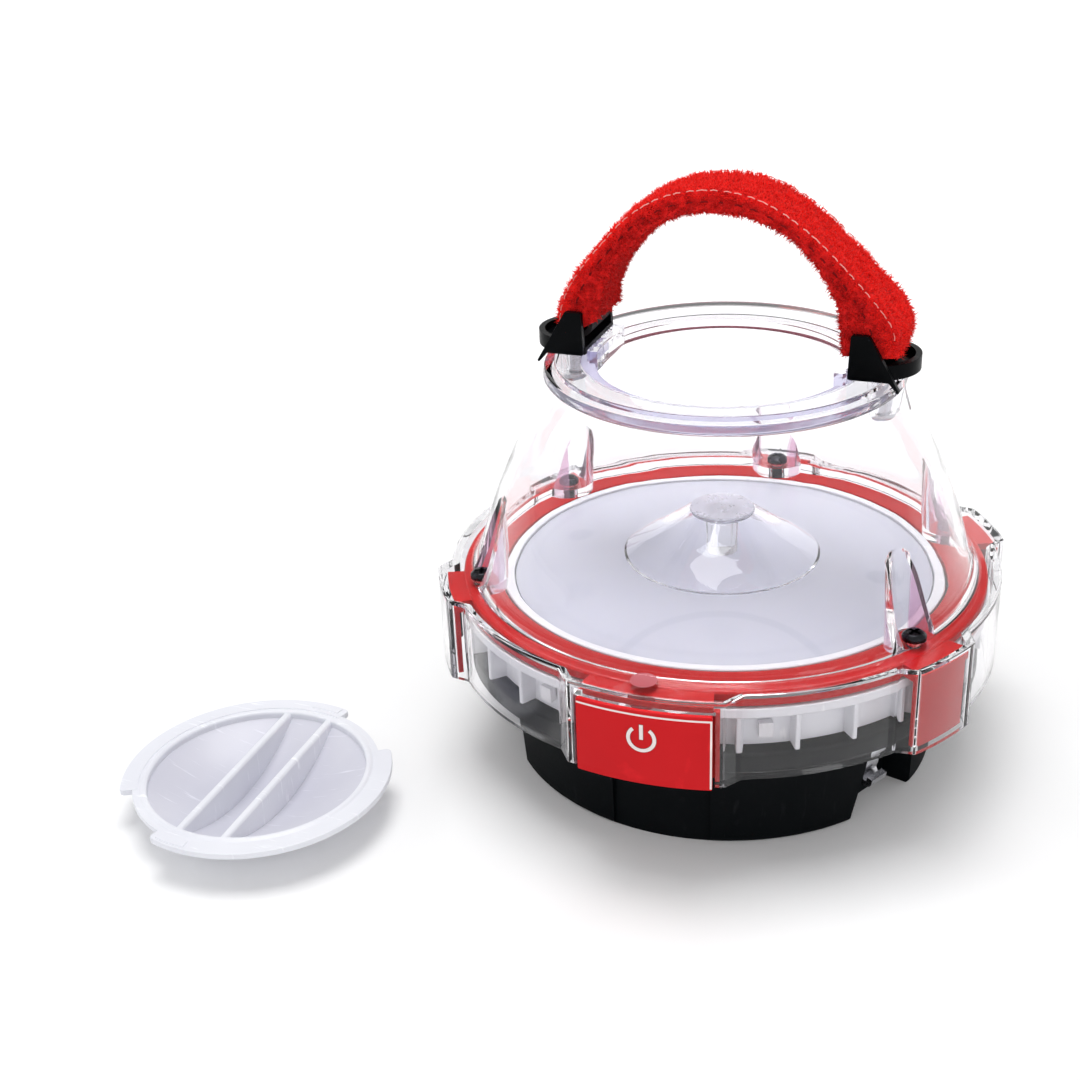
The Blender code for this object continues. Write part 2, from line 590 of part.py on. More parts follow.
first = settle(pan_screw("housing_screw_1", 0, 22.6))
paint(first, "black_screw", **BLACK_STEEL)
for k, a in enumerate(SCREW_AZ):
    s = first if k == 0 else link(f"housing_screw_{k + 1}", first.data, parts, lantern)
    s.location = (*[v * MM for v in pol(SCREW_CIRCLE_R, a)], 51.3 * MM)
    s.rotation_euler = (0, 0, math.radians(a + 20 * k))
clip_screw = settle(pan_screw("clip_screw_left", 0, 12.8))
paint(clip_screw, "clip_screw_steel", **STEEL)
right_screw = link("clip_screw_right", clip_screw.data, parts, lantern)
for s, side in ((clip_screw, -1), (right_screw, 1)):
    s.location = (side * CLIP_SCREW_X * MM, 0, 94.1 * MM)
    s.rotation_euler = (math.pi, 0, 0)
door_screw = settle(pan_screw("door_screw", 0, 3.0))
paint(door_screw, "door_screw_steel", **STEEL)
door_screw.location = (0, 0, 11.6 * MM)
door_screw.rotation_euler = (math.pi, 0, 0)

# ================================================================ handle clips
def clip(side):
    name = "handle_clip_right" if side > 0 else "handle_clip_left"
    # half-round foot, with the flat side towards the opening
    foot = [(side * 32.2, -10.4), (side * 37.0, -10.4)]
    foot += [(side * (37.0 + 10.4 * math.sin(math.radians(t))), -10.4 * math.cos(math.radians(t)))
             for t in range(15, 180, 15)]
    foot += [(side * 37.0, 10.4), (side * 32.2, 10.4)]
    body = prism(name, foot, 105.3, 107.1)
    rim = [(side * (37.0 + r * math.sin(math.radians(t))), -r * math.cos(math.radians(t)))
           for r, ts in ((10.4, range(0, 181, 15)), (8.9, range(180, -1, -15))) for t in ts]
    rim_wall = prism(f"rim{side}", rim, 105.6, 108.9, cutters)
    cheek = [(side * x, z) for x, z in ((32.25, 105.4), (41.8, 105.4), (44.0, 102.9), (44.4, 103.3),
                                        (37.1, 115.5), (36.4, 116.2), (33.3, 116.2), (32.6, 115.4))]
    front = sheet_xz(f"cf{side}", cheek, -11.6, -10.0, cutters)
    back = sheet_xz(f"cb{side}", cheek, 10.0, 11.6, cutters)
    post = rod(f"post{side}", 3.0, (side * CLIP_SCREW_X, 0, 106.0), (side * CLIP_SCREW_X, 0, 108.1), cutters)
    join(body, rim_wall, front, back, post)
    screw_way = rod(f"sw{side}", HOLE_R, (side * CLIP_SCREW_X, 0, 104), (side * CLIP_SCREW_X, 0, 107.3), cutters, segments=12)
    pin_way = rod(f"pw{side}", 1.55, (side * CLIP_X, -11.1, PIN_Z), (side * CLIP_X, 11.1, PIN_Z), cutters,
                  segments=12)
    cut(body, screw_way, pin_way)
    paint(body, name + "_black", **BLACK)
    pin = rod("strap_pin_right" if side > 0 else "strap_pin_left", 1.25,
              (side * CLIP_X, -10.9, PIN_Z), (side * CLIP_X, 10.9, PIN_Z), segments=12)
    paint(pin, pin.name + "_steel", **STEEL)


clip(-1)
clip(1)

# ================================================================ strap handle
OUTER = [(-39.0, 109.4), (-39.4, 112.5), (-38.9, 116.5), (-36.8, 121.5), (-32.8, 127.4), (-27.8, 133.1),
         (-22.6, 138.7), (-17.2, 142.7), (-12.0, 145.3), (-6.0, 146.8), (0.0, 147.3), (6.2, 146.6),
         (11.0, 145.1), (15.5, 142.8), (20.5, 139.4), (25.0, 135.8), (30.0, 131.3), (35.0, 126.6),
         (39.6, 122.0), (42.8, 118.0), (43.6, 114.0), (43.2, 110.6)]
INNER = [(30.5, 109.4), (30.2, 113.0), (29.6, 118.3), (27.6, 124.6), (24.4, 130.1), (20.4, 134.5),
         (15.6, 137.9), (8.8, 140.9), (0.0, 141.9), (-8.0, 141.1), (-15.0, 137.9), (-19.6, 133.6),
         (-23.6, 129.2), (-27.0, 124.0), (-28.8, 119.4), (-29.8, 114.0), (-30.5, 109.4)]
sleeve = sheet_xz("plush_sleeve", OUTER + INNER, -STRAP_HALF, STRAP_HALF)
# The webbing core runs through the sleeve, round both pins and back up inside it.
over = [(-33.0, 121.5), (-30.2, 125.8), (-25.6, 131.0), (-20.6, 136.0), (-14.8, 140.2), (-8.0, 143.2),
        (0.0, 144.3), (8.0, 143.2), (14.8, 140.0), (20.8, 135.8), (26.0, 131.0), (30.4, 126.4),
        (33.6, 121.5)]


def loop(side):
    c = Vector((side * CLIP_X, PIN_Z))
    return [(c.x + side * 2.6 * math.cos(math.radians(t)), c.y + 2.6 * math.sin(math.radians(t)))
            for t in (20, -20, -60, -100, -140, -170)]


left_loop, right_loop = loop(-1), loop(1)
path = ([(-31.4, 120.0), (-31.9, 116.0)] + [p for p in reversed(left_loop)] + [(-36.3, 116.0)]
        + over + [(37.6, 116.0)] + right_loop + [(31.9, 116.0), (31.6, 120.0)])
path = [tuple(p) for p in smooth_path([Vector((x, y, 0)) for x, y in path], 2)]
core = sheet_xz("webbing_core", thick([Vector((p[0], p[1])) for p in path], 0.6), -7.0, 7.0)
core_way = sheet_xz("core_way", thick([Vector((p[0], p[1])) for p in path], 0.95), -7.4, 7.4, cutters)
pin_space = several("pin_space", [
    rod(f"ps{s}", 3.45, (s * CLIP_X, -12, PIN_Z), (s * CLIP_X, 12, PIN_Z), cutters) for s in (-1, 1)])
cut(sleeve, core_way, pin_space)
paint(sleeve, "red_plush", colour=(0.75, 0.015, 0.015), roughness=0.9)
paint(core, "black_webbing", colour=(0.02, 0.02, 0.02), roughness=0.85)

# ================================================================ reflector cap
CAP_FLANGE_R, CAP_NARROW_R, DISH_R, CAP_Z = 34.0, 30.9, 27.3, 10.9
bowl = []
for i in range(7):
    t = i / 6
    r = 29.0 * math.sin(t * math.pi / 2)
    bowl.append((r, 9.3 * (r / 29.0) ** 2))
inside = [(27.3, 10.9)] + [(27.3 * (1 - t), 1.7 + 7.6 * (1 - t) ** 2) for t in (0.08, 0.25, 0.45, 0.7, 1.0)]
cap = turned("reflector_cap", [(0, 1.7)] + inside[-2::-1] + [(30.9, 10.9), (30.9, 9.3)]
             + bowl[::-1][:-1] + [(0, 0)], parent=cap_axis, closed=False)
wide = several("cap_segments", [
    prism("ws0", sector(29.6, CAP_FLANGE_R, -19.5, 125.5, 6), 9.3, 10.9, cutters, cap_axis),
    prism("ws1", sector(29.6, CAP_FLANGE_R, 163.7, 302.6, 6), 9.3, 10.9, cutters, cap_axis)],
    parent=cap_axis)
cap_ribs = several("cap_ribs", [
    box("rib_left", (-6.95, -28.4, 0.9), (-5.25, 28.4, 10.7), cutters, cap_axis),
    box("rib_right", (5.25, -28.4, 0.9), (6.95, 28.4, 10.7), cutters, cap_axis)], parent=cap_axis)
# the ribs stop at the outside of the bowl
bowl_envelope = turned("bowl_envelope", [(0, 12), (30.0, 12), (30.0, 9.6)] + [(r, z + 0.2) for r, z in bowl[::-1][:-1]]
                       + [(0, 0.2)], cutters, cap_axis, closed=False)
boolean(cap_ribs, "INTERSECT", bowl_envelope)
join(cap, wide, cap_ribs)
paint(cap, "cap_white", **WHITE)

for obj in parts.objects:
    if obj.type == "MESH":
        obj.data.shade_smooth()
        obj.data.set_sharp_from_angle(angle=math.radians(35))
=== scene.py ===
"""Looks of the LED safety flare: finishes, the fine shapes of the mouldings, the
plush strap, the floor, the light and the camera. Lengths named in millimetres."""
import math
import random

import bpy
import bmesh
from mathutils import Matrix, Vector, noise


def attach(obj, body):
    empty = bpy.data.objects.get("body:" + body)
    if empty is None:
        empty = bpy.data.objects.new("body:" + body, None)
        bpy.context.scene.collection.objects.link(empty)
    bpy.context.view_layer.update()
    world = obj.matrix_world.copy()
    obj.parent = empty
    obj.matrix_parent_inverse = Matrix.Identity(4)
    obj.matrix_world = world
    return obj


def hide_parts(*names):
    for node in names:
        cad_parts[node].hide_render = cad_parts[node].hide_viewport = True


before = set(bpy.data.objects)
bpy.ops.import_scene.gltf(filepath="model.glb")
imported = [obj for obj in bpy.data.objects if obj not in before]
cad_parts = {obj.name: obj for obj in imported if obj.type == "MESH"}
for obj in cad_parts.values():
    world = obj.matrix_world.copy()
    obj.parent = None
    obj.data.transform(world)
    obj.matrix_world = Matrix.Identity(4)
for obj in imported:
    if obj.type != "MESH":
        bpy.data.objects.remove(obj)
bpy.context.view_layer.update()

MM = 0.001
LX, LY = 32.0, 17.6           # the lantern's axis
CX, CY = -67.9, -56.9         # the cap's axis
SCREW_AZ = (60, 120, 180, -120, -60)
SCREW_CIRCLE_R = 62.5
CLIP_X, PIN_Z, CLIP_SCREW_X = 34.6, 111.8, 38.7
N = 180                       # facets of a large turned piece

looks = bpy.data.collections.new("looks")
bpy.context.scene.collection.children.link(looks)


# ================================================================ shape helpers
def pol(r, az):
    a = math.radians(az)
    return (r * math.sin(a), -r * math.cos(a))


def add(name, bm, smooth=32):
    bmesh.ops.recalc_face_normals(bm, faces=bm.faces)
    mesh = bpy.data.meshes.new(name)
    bm.to_mesh(mesh)
    bm.free()
    obj = bpy.data.objects.new(name, mesh)
    looks.objects.link(obj)
    if smooth:
        mesh.shade_smooth()
        mesh.set_sharp_from_angle(angle=math.radians(smooth))
    return obj


def rounded(profile, r, steps=3, closed=True):
    """The profile with each corner turned into a small arc."""
    out = []
    n = len(profile)
    for i, p in enumerate(profile):
        if not closed and i in (0, n - 1):
            out.append(p)
            continue
        p = Vector(p)
        a, b = Vector(profile[i - 1]), Vector(profile[(i + 1) % n])
        da, db = a - p, b - p
        la, lb = da.length, db.length
        if la < 1e-6 or lb < 1e-6:
            continue
        ua, ub = da / la, db / lb
        turn = math.pi - ua.angle(ub)
        if turn < math.radians(12):
            out.append(tuple(p))
            continue
        cutback = min(r * math.tan(turn / 2), la * 0.45, lb * 0.45)
        rr = cutback / math.tan(turn / 2)
        bis = (ua + ub).normalized()
        c = p + bis * (rr / math.cos(turn / 2))
        s, e = p + ua * cutback - c, p + ub * cutback - c
        for k in range(steps + 1):
            t = k / steps
            v = s * math.sin((1 - t) * turn) + e * math.sin(t * turn)
            v = v / math.sin(turn) if math.sin(turn) > 1e-4 else s.lerp(e, t)
            out.append(tuple(c + v))
    return out


def lathe(name, profile, n=N, closed=True, smooth=32):
    bm = bmesh.new()
    rings = []
    for r, z in profile:
        if r < 1e-6:
            rings.append([bm.verts.new((0, 0, z * MM))])
        else:
            rings.append([bm.verts.new((*[c * MM for c in pol(r, 360 * k / n)], z * MM)) for k in range(n)])
    pairs = list(zip(rings, rings[1:]))
    if closed:
        pairs.append((rings[-1], rings[0]))
    for a, b in pairs:
        if len(a) == 1 and len(b) == 1:
            continue
        for k in range(n):
            j = (k + 1) % n
            if len(a) == 1:
                bm.faces.new((a[0], b[k], b[j]))
            elif len(b) == 1:
                bm.faces.new((a[k], b[0], a[j]))
            else:
                bm.faces.new((a[k], b[k], b[j], a[j]))
    return add(name, bm, smooth)


def prism(name, outline, z0, z1, smooth=32):
    bm = bmesh.new()
    a = [bm.verts.new((x * MM, y * MM, z0 * MM)) for x, y in outline]
    b = [bm.verts.new((x * MM, y * MM, z1 * MM)) for x, y in outline]
    n = len(a)
    bm.faces.new(a)
    bm.faces.new(b)
    for i in range(n):
        j = (i + 1) % n
        bm.faces.new((a[i], a[j], b[j], b[i]))
    return add(name, bm, smooth)


def loft(name, low, high, z0, z1):
    bm = bmesh.new()
    a = [bm.verts.new((x * MM, y * MM, z0 * MM)) for x, y in low]
    b = [bm.verts.new((x * MM, y * MM, z1 * MM)) for x, y in high]
    n = len(a)
    bm.faces.new(a)
    bm.faces.new(b)
    for i in range(n):
        j = (i + 1) % n
        bm.faces.new((a[i], a[j], b[j]))
        bm.faces.new((a[i], b[j], b[i]))
    return add(name, bm)


def sector(r0, r1, az0, az1, count=16):
    out = [pol(r1, az0 + (az1 - az0) * i / count) for i in range(count + 1)]
    return out + [pol(r0, az1 + (az0 - az1) * i / count) for i in range(count + 1)]


def slab(name, r0, r1, az0, az1, z0, z1, count=16):
    """A curved plate: a ring segment of the given heights."""
    return prism(name, sector(r0, r1, az0, az1, count), z0, z1)


def block(name, lo, hi):
    bm = bmesh.new()
    bmesh.ops.create_cube(bm, size=1.0)
    bmesh.ops.scale(bm, vec=[(b - a) * MM for a, b in zip(lo, hi)], verts=bm.verts)
    bmesh.ops.translate(bm, vec=[(a + b) / 2 * MM for a, b in zip(lo, hi)], verts=bm.verts)
    return add(name, bm)


def rod(name, r, start, end, segments=40, r2=None):
    a, b = Vector(start) * MM, Vector(end) * MM
    bm = bmesh.new()
    bmesh.ops.create_cone(bm, cap_ends=True, segments=segments, radius1=r * MM,
                          radius2=(r if r2 is None else r2) * MM, depth=(b - a).length)
    turn = Vector((0, 0, 1)).rotation_difference(b - a).to_matrix().to_4x4()
    bmesh.ops.transform(bm, matrix=Matrix.Translation((a + b) / 2) @ turn, verts=bm.verts)
    return add(name, bm)


def upright(name, outline, y0, y1):
    """An (x, z) outline raised along Y."""
    bm = bmesh.new()
    a = [bm.verts.new((x * MM, y0 * MM, z * MM)) for x, z in outline]
    b = [bm.verts.new((x * MM, y1 * MM, z * MM)) for x, z in outline]
    n = len(a)
    bm.faces.new(a)
    bm.faces.new(b)
    for i in range(n):
        j = (i + 1) % n
        bm.faces.new((a[i], a[j], b[j], b[i]))
    return add(name, bm)


def merged(name, objs):
    bm = bmesh.new()
    for o in objs:
        bm.from_mesh(o.data)
        bpy.data.objects.remove(o, do_unlink=True)
    return add(name, bm)


def bake(obj, smooth=32):
    """Applies the object's modifiers."""
    bpy.context.view_layer.update()
    graph = bpy.context.evaluated_depsgraph_get()
    mesh = bpy.data.meshes.new_from_object(obj.evaluated_get(graph))
    obj.modifiers.clear()
    old = obj.data
    obj.data = mesh
    mesh.name = obj.name
    bpy.data.meshes.remove(old)
    if smooth:
        mesh.shade_smooth()
        mesh.set_sharp_from_angle(angle=math.radians(smooth))
    return obj


def boolean(obj, operation, others):
    for other in others:
        m = obj.modifiers.new(operation.lower(), "BOOLEAN")
        m.operation = operation
        m.solver = "EXACT"
        m.object = other
        bake(obj)
        bpy.data.objects.remove(other, do_unlink=True)
    return obj


def cut(obj, *others):
    return boolean(obj, "DIFFERENCE", others)


def join(obj, *others):
    return boolean(obj, "UNION", others)


def soften(obj, width, segments=2, angle=32):
    m = obj.modifiers.new("edges", "BEVEL")
    m.width = width * MM
    m.segments = segments
    m.limit_method = "ANGLE"
    m.angle_limit = math.radians(angle)
    m.use_clamp_overlap = True
    m.harden_normals = False
    return bake(obj)


def smooth_path(points, per=6):
    pts = [Vector(p) for p in points]
    out = []
    for i in range(len(pts) - 1):
        p0, p1, p2, p3 = pts[max(i - 1, 0)], pts[i], pts[i + 1], pts[min(i + 2, len(pts) - 1)]
        for k in range(per):
            t = k / per
            out.append(0.5 * ((2 * p1) + (p2 - p0) * t + (2 * p0 - 5 * p1 + 4 * p2 - p3) * t ** 2
                              + (3 * p1 - p0 - 3 * p2 + p3) * t ** 3))
    out.append(pts[-1])
    return out


def tidy(obj, near=0.000002):
    """Melts the slivers that cutting leaves, so the mesh stays closed."""
    bm = bmesh.new()
    bm.from_mesh(obj.data)
    bmesh.ops.remove_doubles(bm, verts=bm.verts, dist=near)
    bmesh.ops.dissolve_degenerate(bm, edges=bm.edges, dist=near)
    gaps = [e for e in bm.edges if e.is_boundary]
    if gaps:
        bmesh.ops.holes_fill(bm, edges=gaps, sides=6)
    bm.to_mesh(obj.data)
    bm.free()
    obj.data.validate()


def place(obj, body="lantern", at=(LX, LY), nodes=(), material=None, flat=True):
    obj.location = (at[0] * MM, at[1] * MM, 0)
    bpy.context.view_layer.update()
    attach(obj, body)
    if nodes:
        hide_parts(*nodes)
    if material:
        obj.data.materials.clear()
        obj.data.materials.append(material)
    if flat:
        tidy(obj)
        m = obj.modifiers.new("flats", "WEIGHTED_NORMAL")
        m.weight = 90
        m.keep_sharp = True
    return obj


# ================================================================ materials
def new_material(name):
    m = bpy.data.materials.new(name)
    m.use_nodes = True
    nt = m.node_tree
    return m, nt, nt.nodes["Principled BSDF"]


def speckle(nt, scale, detail=3.0, rough=0.5):
    coord = nt.nodes.new("ShaderNodeTexCoord")
    tex = nt.nodes.new("ShaderNodeTexNoise")
    tex.inputs["Scale"].default_value = scale
    tex.inputs["Detail"].default_value = detail
    tex.inputs["Roughness"].default_value = rough
    nt.links.new(coord.outputs["Object"], tex.inputs["Vector"])
    return tex


def ramp(nt, source, stops):
    r = nt.nodes.new("ShaderNodeValToRGB")
    while len(r.color_ramp.elements) < len(stops):
        r.color_ramp.elements.new(0.5)
    for e, (at, c) in zip(r.color_ramp.elements, stops):
        e.position = at
        e.color = (*c, 1) if len(c) == 3 else c
    nt.links.new(source, r.inputs["Fac"])
    return r


def span(nt, source, lo, hi):
    m = nt.nodes.new("ShaderNodeMapRange")
    m.inputs["To Min"].default_value = lo
    m.inputs["To Max"].default_value = hi
    nt.links.new(source, m.inputs["Value"])
    return m


def bump(nt, shader, source, distance, strength=1.0):
    b = nt.nodes.new("ShaderNodeBump")
    b.inputs["Distance"].default_value = distance
    b.inputs["Strength"].default_value = strength
    nt.links.new(source, b.inputs["Height"])
    nt.links.new(b.outputs["Normal"], shader.inputs["Normal"])
    return b


def plastic(name, dark, light, rough=(0.3, 0.42), grain=900.0, depth=0.00002, broad=40.0, metallic=0.0,
            coat=0.0, shine=0.5):
    """A moulded plastic: slow colour drift, fine surface grain and uneven gloss."""
    m, nt, p = new_material(name)
    slow = speckle(nt, broad)
    col = ramp(nt, slow.outputs["Fac"], [(0.3, dark), (0.7, light)])
    fine = speckle(nt, grain, 4.0)
    gloss = span(nt, fine.outputs["Fac"], *rough)
    # handling scuffs: thin stretched marks that dull the gloss and pale the colour a little
    coord = nt.nodes.new("ShaderNodeTexCoord")
    stretch = nt.nodes.new("ShaderNodeMapping")
    stretch.inputs["Rotation"].default_value = (0.5, 0.3, 0.7)
    stretch.inputs["Scale"].default_value = (1.0, 9.0, 1.0)
    nt.links.new(coord.outputs["Object"], stretch.inputs["Vector"])
    scratch = nt.nodes.new("ShaderNodeTexNoise")
    scratch.inputs["Scale"].default_value = 110.0
    scratch.inputs["Detail"].default_value = 6.0
    nt.links.new(stretch.outputs["Vector"], scratch.inputs["Vector"])
    marks = ramp(nt, scratch.outputs["Fac"], [(0.62, (0, 0, 0)), (0.74, (1, 1, 1))])
    worn = nt.nodes.new("ShaderNodeMix")
    worn.data_type = "RGBA"
    worn.inputs["B"].default_value = (*[min(c * 1.15 + 0.004, 1.0) for c in light], 1)
    nt.links.new(marks.outputs["Color"], worn.inputs["Factor"])
    nt.links.new(col.outputs["Color"], worn.inputs["A"])
    nt.links.new(worn.outputs["Result"], p.inputs["Base Color"])
    dull = span(nt, marks.outputs["Color"], 0.0, 0.10)
    total = nt.nodes.new("ShaderNodeMath")
    total.operation = "ADD"
    nt.links.new(gloss.outputs["Result"], total.inputs[0])
    nt.links.new(dull.outputs["Result"], total.inputs[1])
    nt.links.new(total.outputs["Value"], p.inputs["Roughness"])
    bump(nt, p, fine.outputs["Fac"], depth)
    p.inputs["Metallic"].default_value = metallic
    p.inputs["Specular IOR Level"].default_value = shine
    p.inputs["Coat Weight"].default_value = coat
    p.inputs["Coat Roughness"].default_value = 0.12
    return m


def clear(name, colour, ior=1.37, rough=0.012, tint=(0.97, 0.97, 0.98), wave=0.00001, through_part=1.0):
    """Clear plastic that lets the lamps through, with the faint waviness of a moulding."""
    m, nt, p = new_material(name)
    p.inputs["Base Color"].default_value = (*colour, 1)
    p.inputs["Transmission Weight"].default_value = through_part
    p.inputs["Specular IOR Level"].default_value = 0.2
    p.inputs["IOR"].default_value = ior
    marks = speckle(nt, 300.0, 5.0, 0.7)
    gloss = span(nt, marks.outputs["Fac"], rough * 0.5, rough * 2.2)
    nt.links.new(gloss.outputs["Result"], p.inputs["Roughness"])
    slow = speckle(nt, 60.0, 2.0)
    bump(nt, p, slow.outputs["Fac"], wave)
    path = nt.nodes.new("ShaderNodeLightPath")
    through = nt.nodes.new("ShaderNodeBsdfTransparent")
    through.inputs["Color"].default_value = (*tint, 1)
    mix = nt.nodes.new("ShaderNodeMixShader")
    nt.links.new(path.outputs["Is Shadow Ray"], mix.inputs["Fac"])
    nt.links.new(p.outputs["BSDF"], mix.inputs[1])
    nt.links.new(through.outputs["BSDF"], mix.inputs[2])
    nt.links.new(mix.outputs["Shader"], nt.nodes["Material Output"].inputs["Surface"])
    return m


def metal(name, colour, rough=(0.18, 0.32), grain=500.0):
    m, nt, p = new_material(name)
    fine = speckle(nt, grain, 5.0, 0.7)
    col = ramp(nt, fine.outputs["Fac"], [(0.35, tuple(c * 0.8 for c in colour)), (0.7, colour)])
    nt.links.new(col.outputs["Color"], p.inputs["Base Color"])
    gloss = span(nt, fine.outputs["Fac"], *rough)
    nt.links.new(gloss.outputs["Result"], p.inputs["Roughness"])
    bump(nt, p, fine.outputs["Fac"], 0.00001)
    p.inputs["Metallic"].default_value = 1.0
    return m


clear_mat = clear("clear_polycarbonate", (0.985, 0.98, 0.995))
# painted reflection and shade: tinted, partly opaque copies of the clear plastic that paint the colours the clear walls
# show by refraction and reflection
pocket_reflection_mat = clear("clear_pocket_wall_painted_reflection", (0.86, 0.62, 0.78), rough=0.05, through_part=0.80)
collar_shade_mat = clear("clear_collar_wall_painted_shade", (0.66, 0.64, 0.88), rough=0.06, through_part=0.66)
rim_reflection_mat = clear("clear_rim_line_painted_reflection", (0.40, 0.10, 0.14), rough=0.08, through_part=0.12)
frame_highlight_mat = clear("clear_frame_edge_painted_highlight", (0.92, 0.78, 0.92), rough=0.04, through_part=0.7)
lens_mat = clear("clear_lens", (0.985, 0.985, 1.0), 1.44)
lens_top_mat = clear("clear_lens_top", (0.80, 0.80, 0.88), 1.44, rough=0.22, through_part=0.45)
# painted highlight: a whiter, partly diffuse copy of the lens plastic that paints the bright column seen down the
# lens's centre
column_highlight_mat = clear("clear_lens_column_painted_highlight", (0.97, 0.97, 0.96), 1.44, rough=0.10, through_part=0.82)
red_mat = plastic("red_plastic", (0.44, 0.002, 0.002), (0.50, 0.004, 0.004), (0.3, 0.42), shine=0.15)
button_mat = plastic("button_red", (0.55, 0.006, 0.010), (0.62, 0.009, 0.013), (0.42, 0.55), grain=1400.0, shine=0.12)
white_mat = plastic("white_plastic", (0.80, 0.80, 0.83), (0.86, 0.86, 0.89), (0.3, 0.4))
cap_mat = plastic("cap_white", (0.76, 0.77, 0.83), (0.82, 0.83, 0.88), (0.34, 0.46), coat=0.08, depth=0.00001)
# painted shade: a darker copy of the cap's white for the inside of the bowl
bowl_shade_mat = plastic("cap_bowl_painted_shade", (0.60, 0.60, 0.68), (0.65, 0.65, 0.72), (0.34, 0.46), coat=0.08, depth=0.00001)
black_mat = plastic("base_black", (0.0014, 0.0024, 0.0032), (0.0036, 0.0046, 0.0055), (0.45, 0.62), grain=1600.0,
                    depth=0.00004, shine=0.05)
clip_mat = plastic("clip_black", (0.0012, 0.0016, 0.002), (0.0028, 0.0034, 0.0042), (0.24, 0.38), grain=1200.0, shine=0.04)
gate_mat = plastic("gate_mark", (0.46, 0.07, 0.09), (0.54, 0.13, 0.15), (0.25, 0.4), grain=1500.0)
thread_mat = plastic("stitch_thread", (0.76, 0.20, 0.18), (0.86, 0.38, 0.34), (0.7, 0.85), grain=2500.0, shine=0.1)
screw_mat = metal("black_screw", (0.035, 0.035, 0.04), (0.2, 0.34))
steel_mat = metal("steel", (0.62, 0.62, 0.65))
# the white of the printed power mark, also used for the painted highlight along the button's edges
print_and_highlight_mat = plastic("print_white_and_highlight", (0.80, 0.72, 0.70), (0.88, 0.80, 0.78), (0.35, 0.45))
ink_mat = plastic("ink_dark", (0.16, 0.008, 0.01), (0.22, 0.012, 0.014), (0.4, 0.5))
rubber_mat = plastic("seal_rubber", (0.02, 0.02, 0.02), (0.035, 0.035, 0.035), (0.7, 0.85))
board_mat = plastic("green_board", (0.02, 0.16, 0.06), (0.03, 0.24, 0.09), (0.3, 0.45))
led_board_mat = plastic("white_board", (0.68, 0.69, 0.68), (0.76, 0.77, 0.76), (0.4, 0.55))
emitter_mat = plastic("emitter", (0.75, 0.66, 0.3), (0.88, 0.80, 0.42), (0.25, 0.35))
red_led_mat = plastic("red_led", (0.76, 0.75, 0.77), (0.82, 0.81, 0.83), (0.2, 0.3), coat=0.2)
cell_mat = plastic("cell_can", (0.05, 0.05, 0.06), (0.08, 0.08, 0.095), (0.2, 0.3), metallic=0.5)
lead_red_mat = plastic("lead_red_jacket", (0.5, 0.012, 0.012), (0.6, 0.02, 0.02), (0.4, 0.5))
lead_black_mat = plastic("lead_black_jacket", (0.012, 0.012, 0.012), (0.02, 0.02, 0.02), (0.4, 0.5))


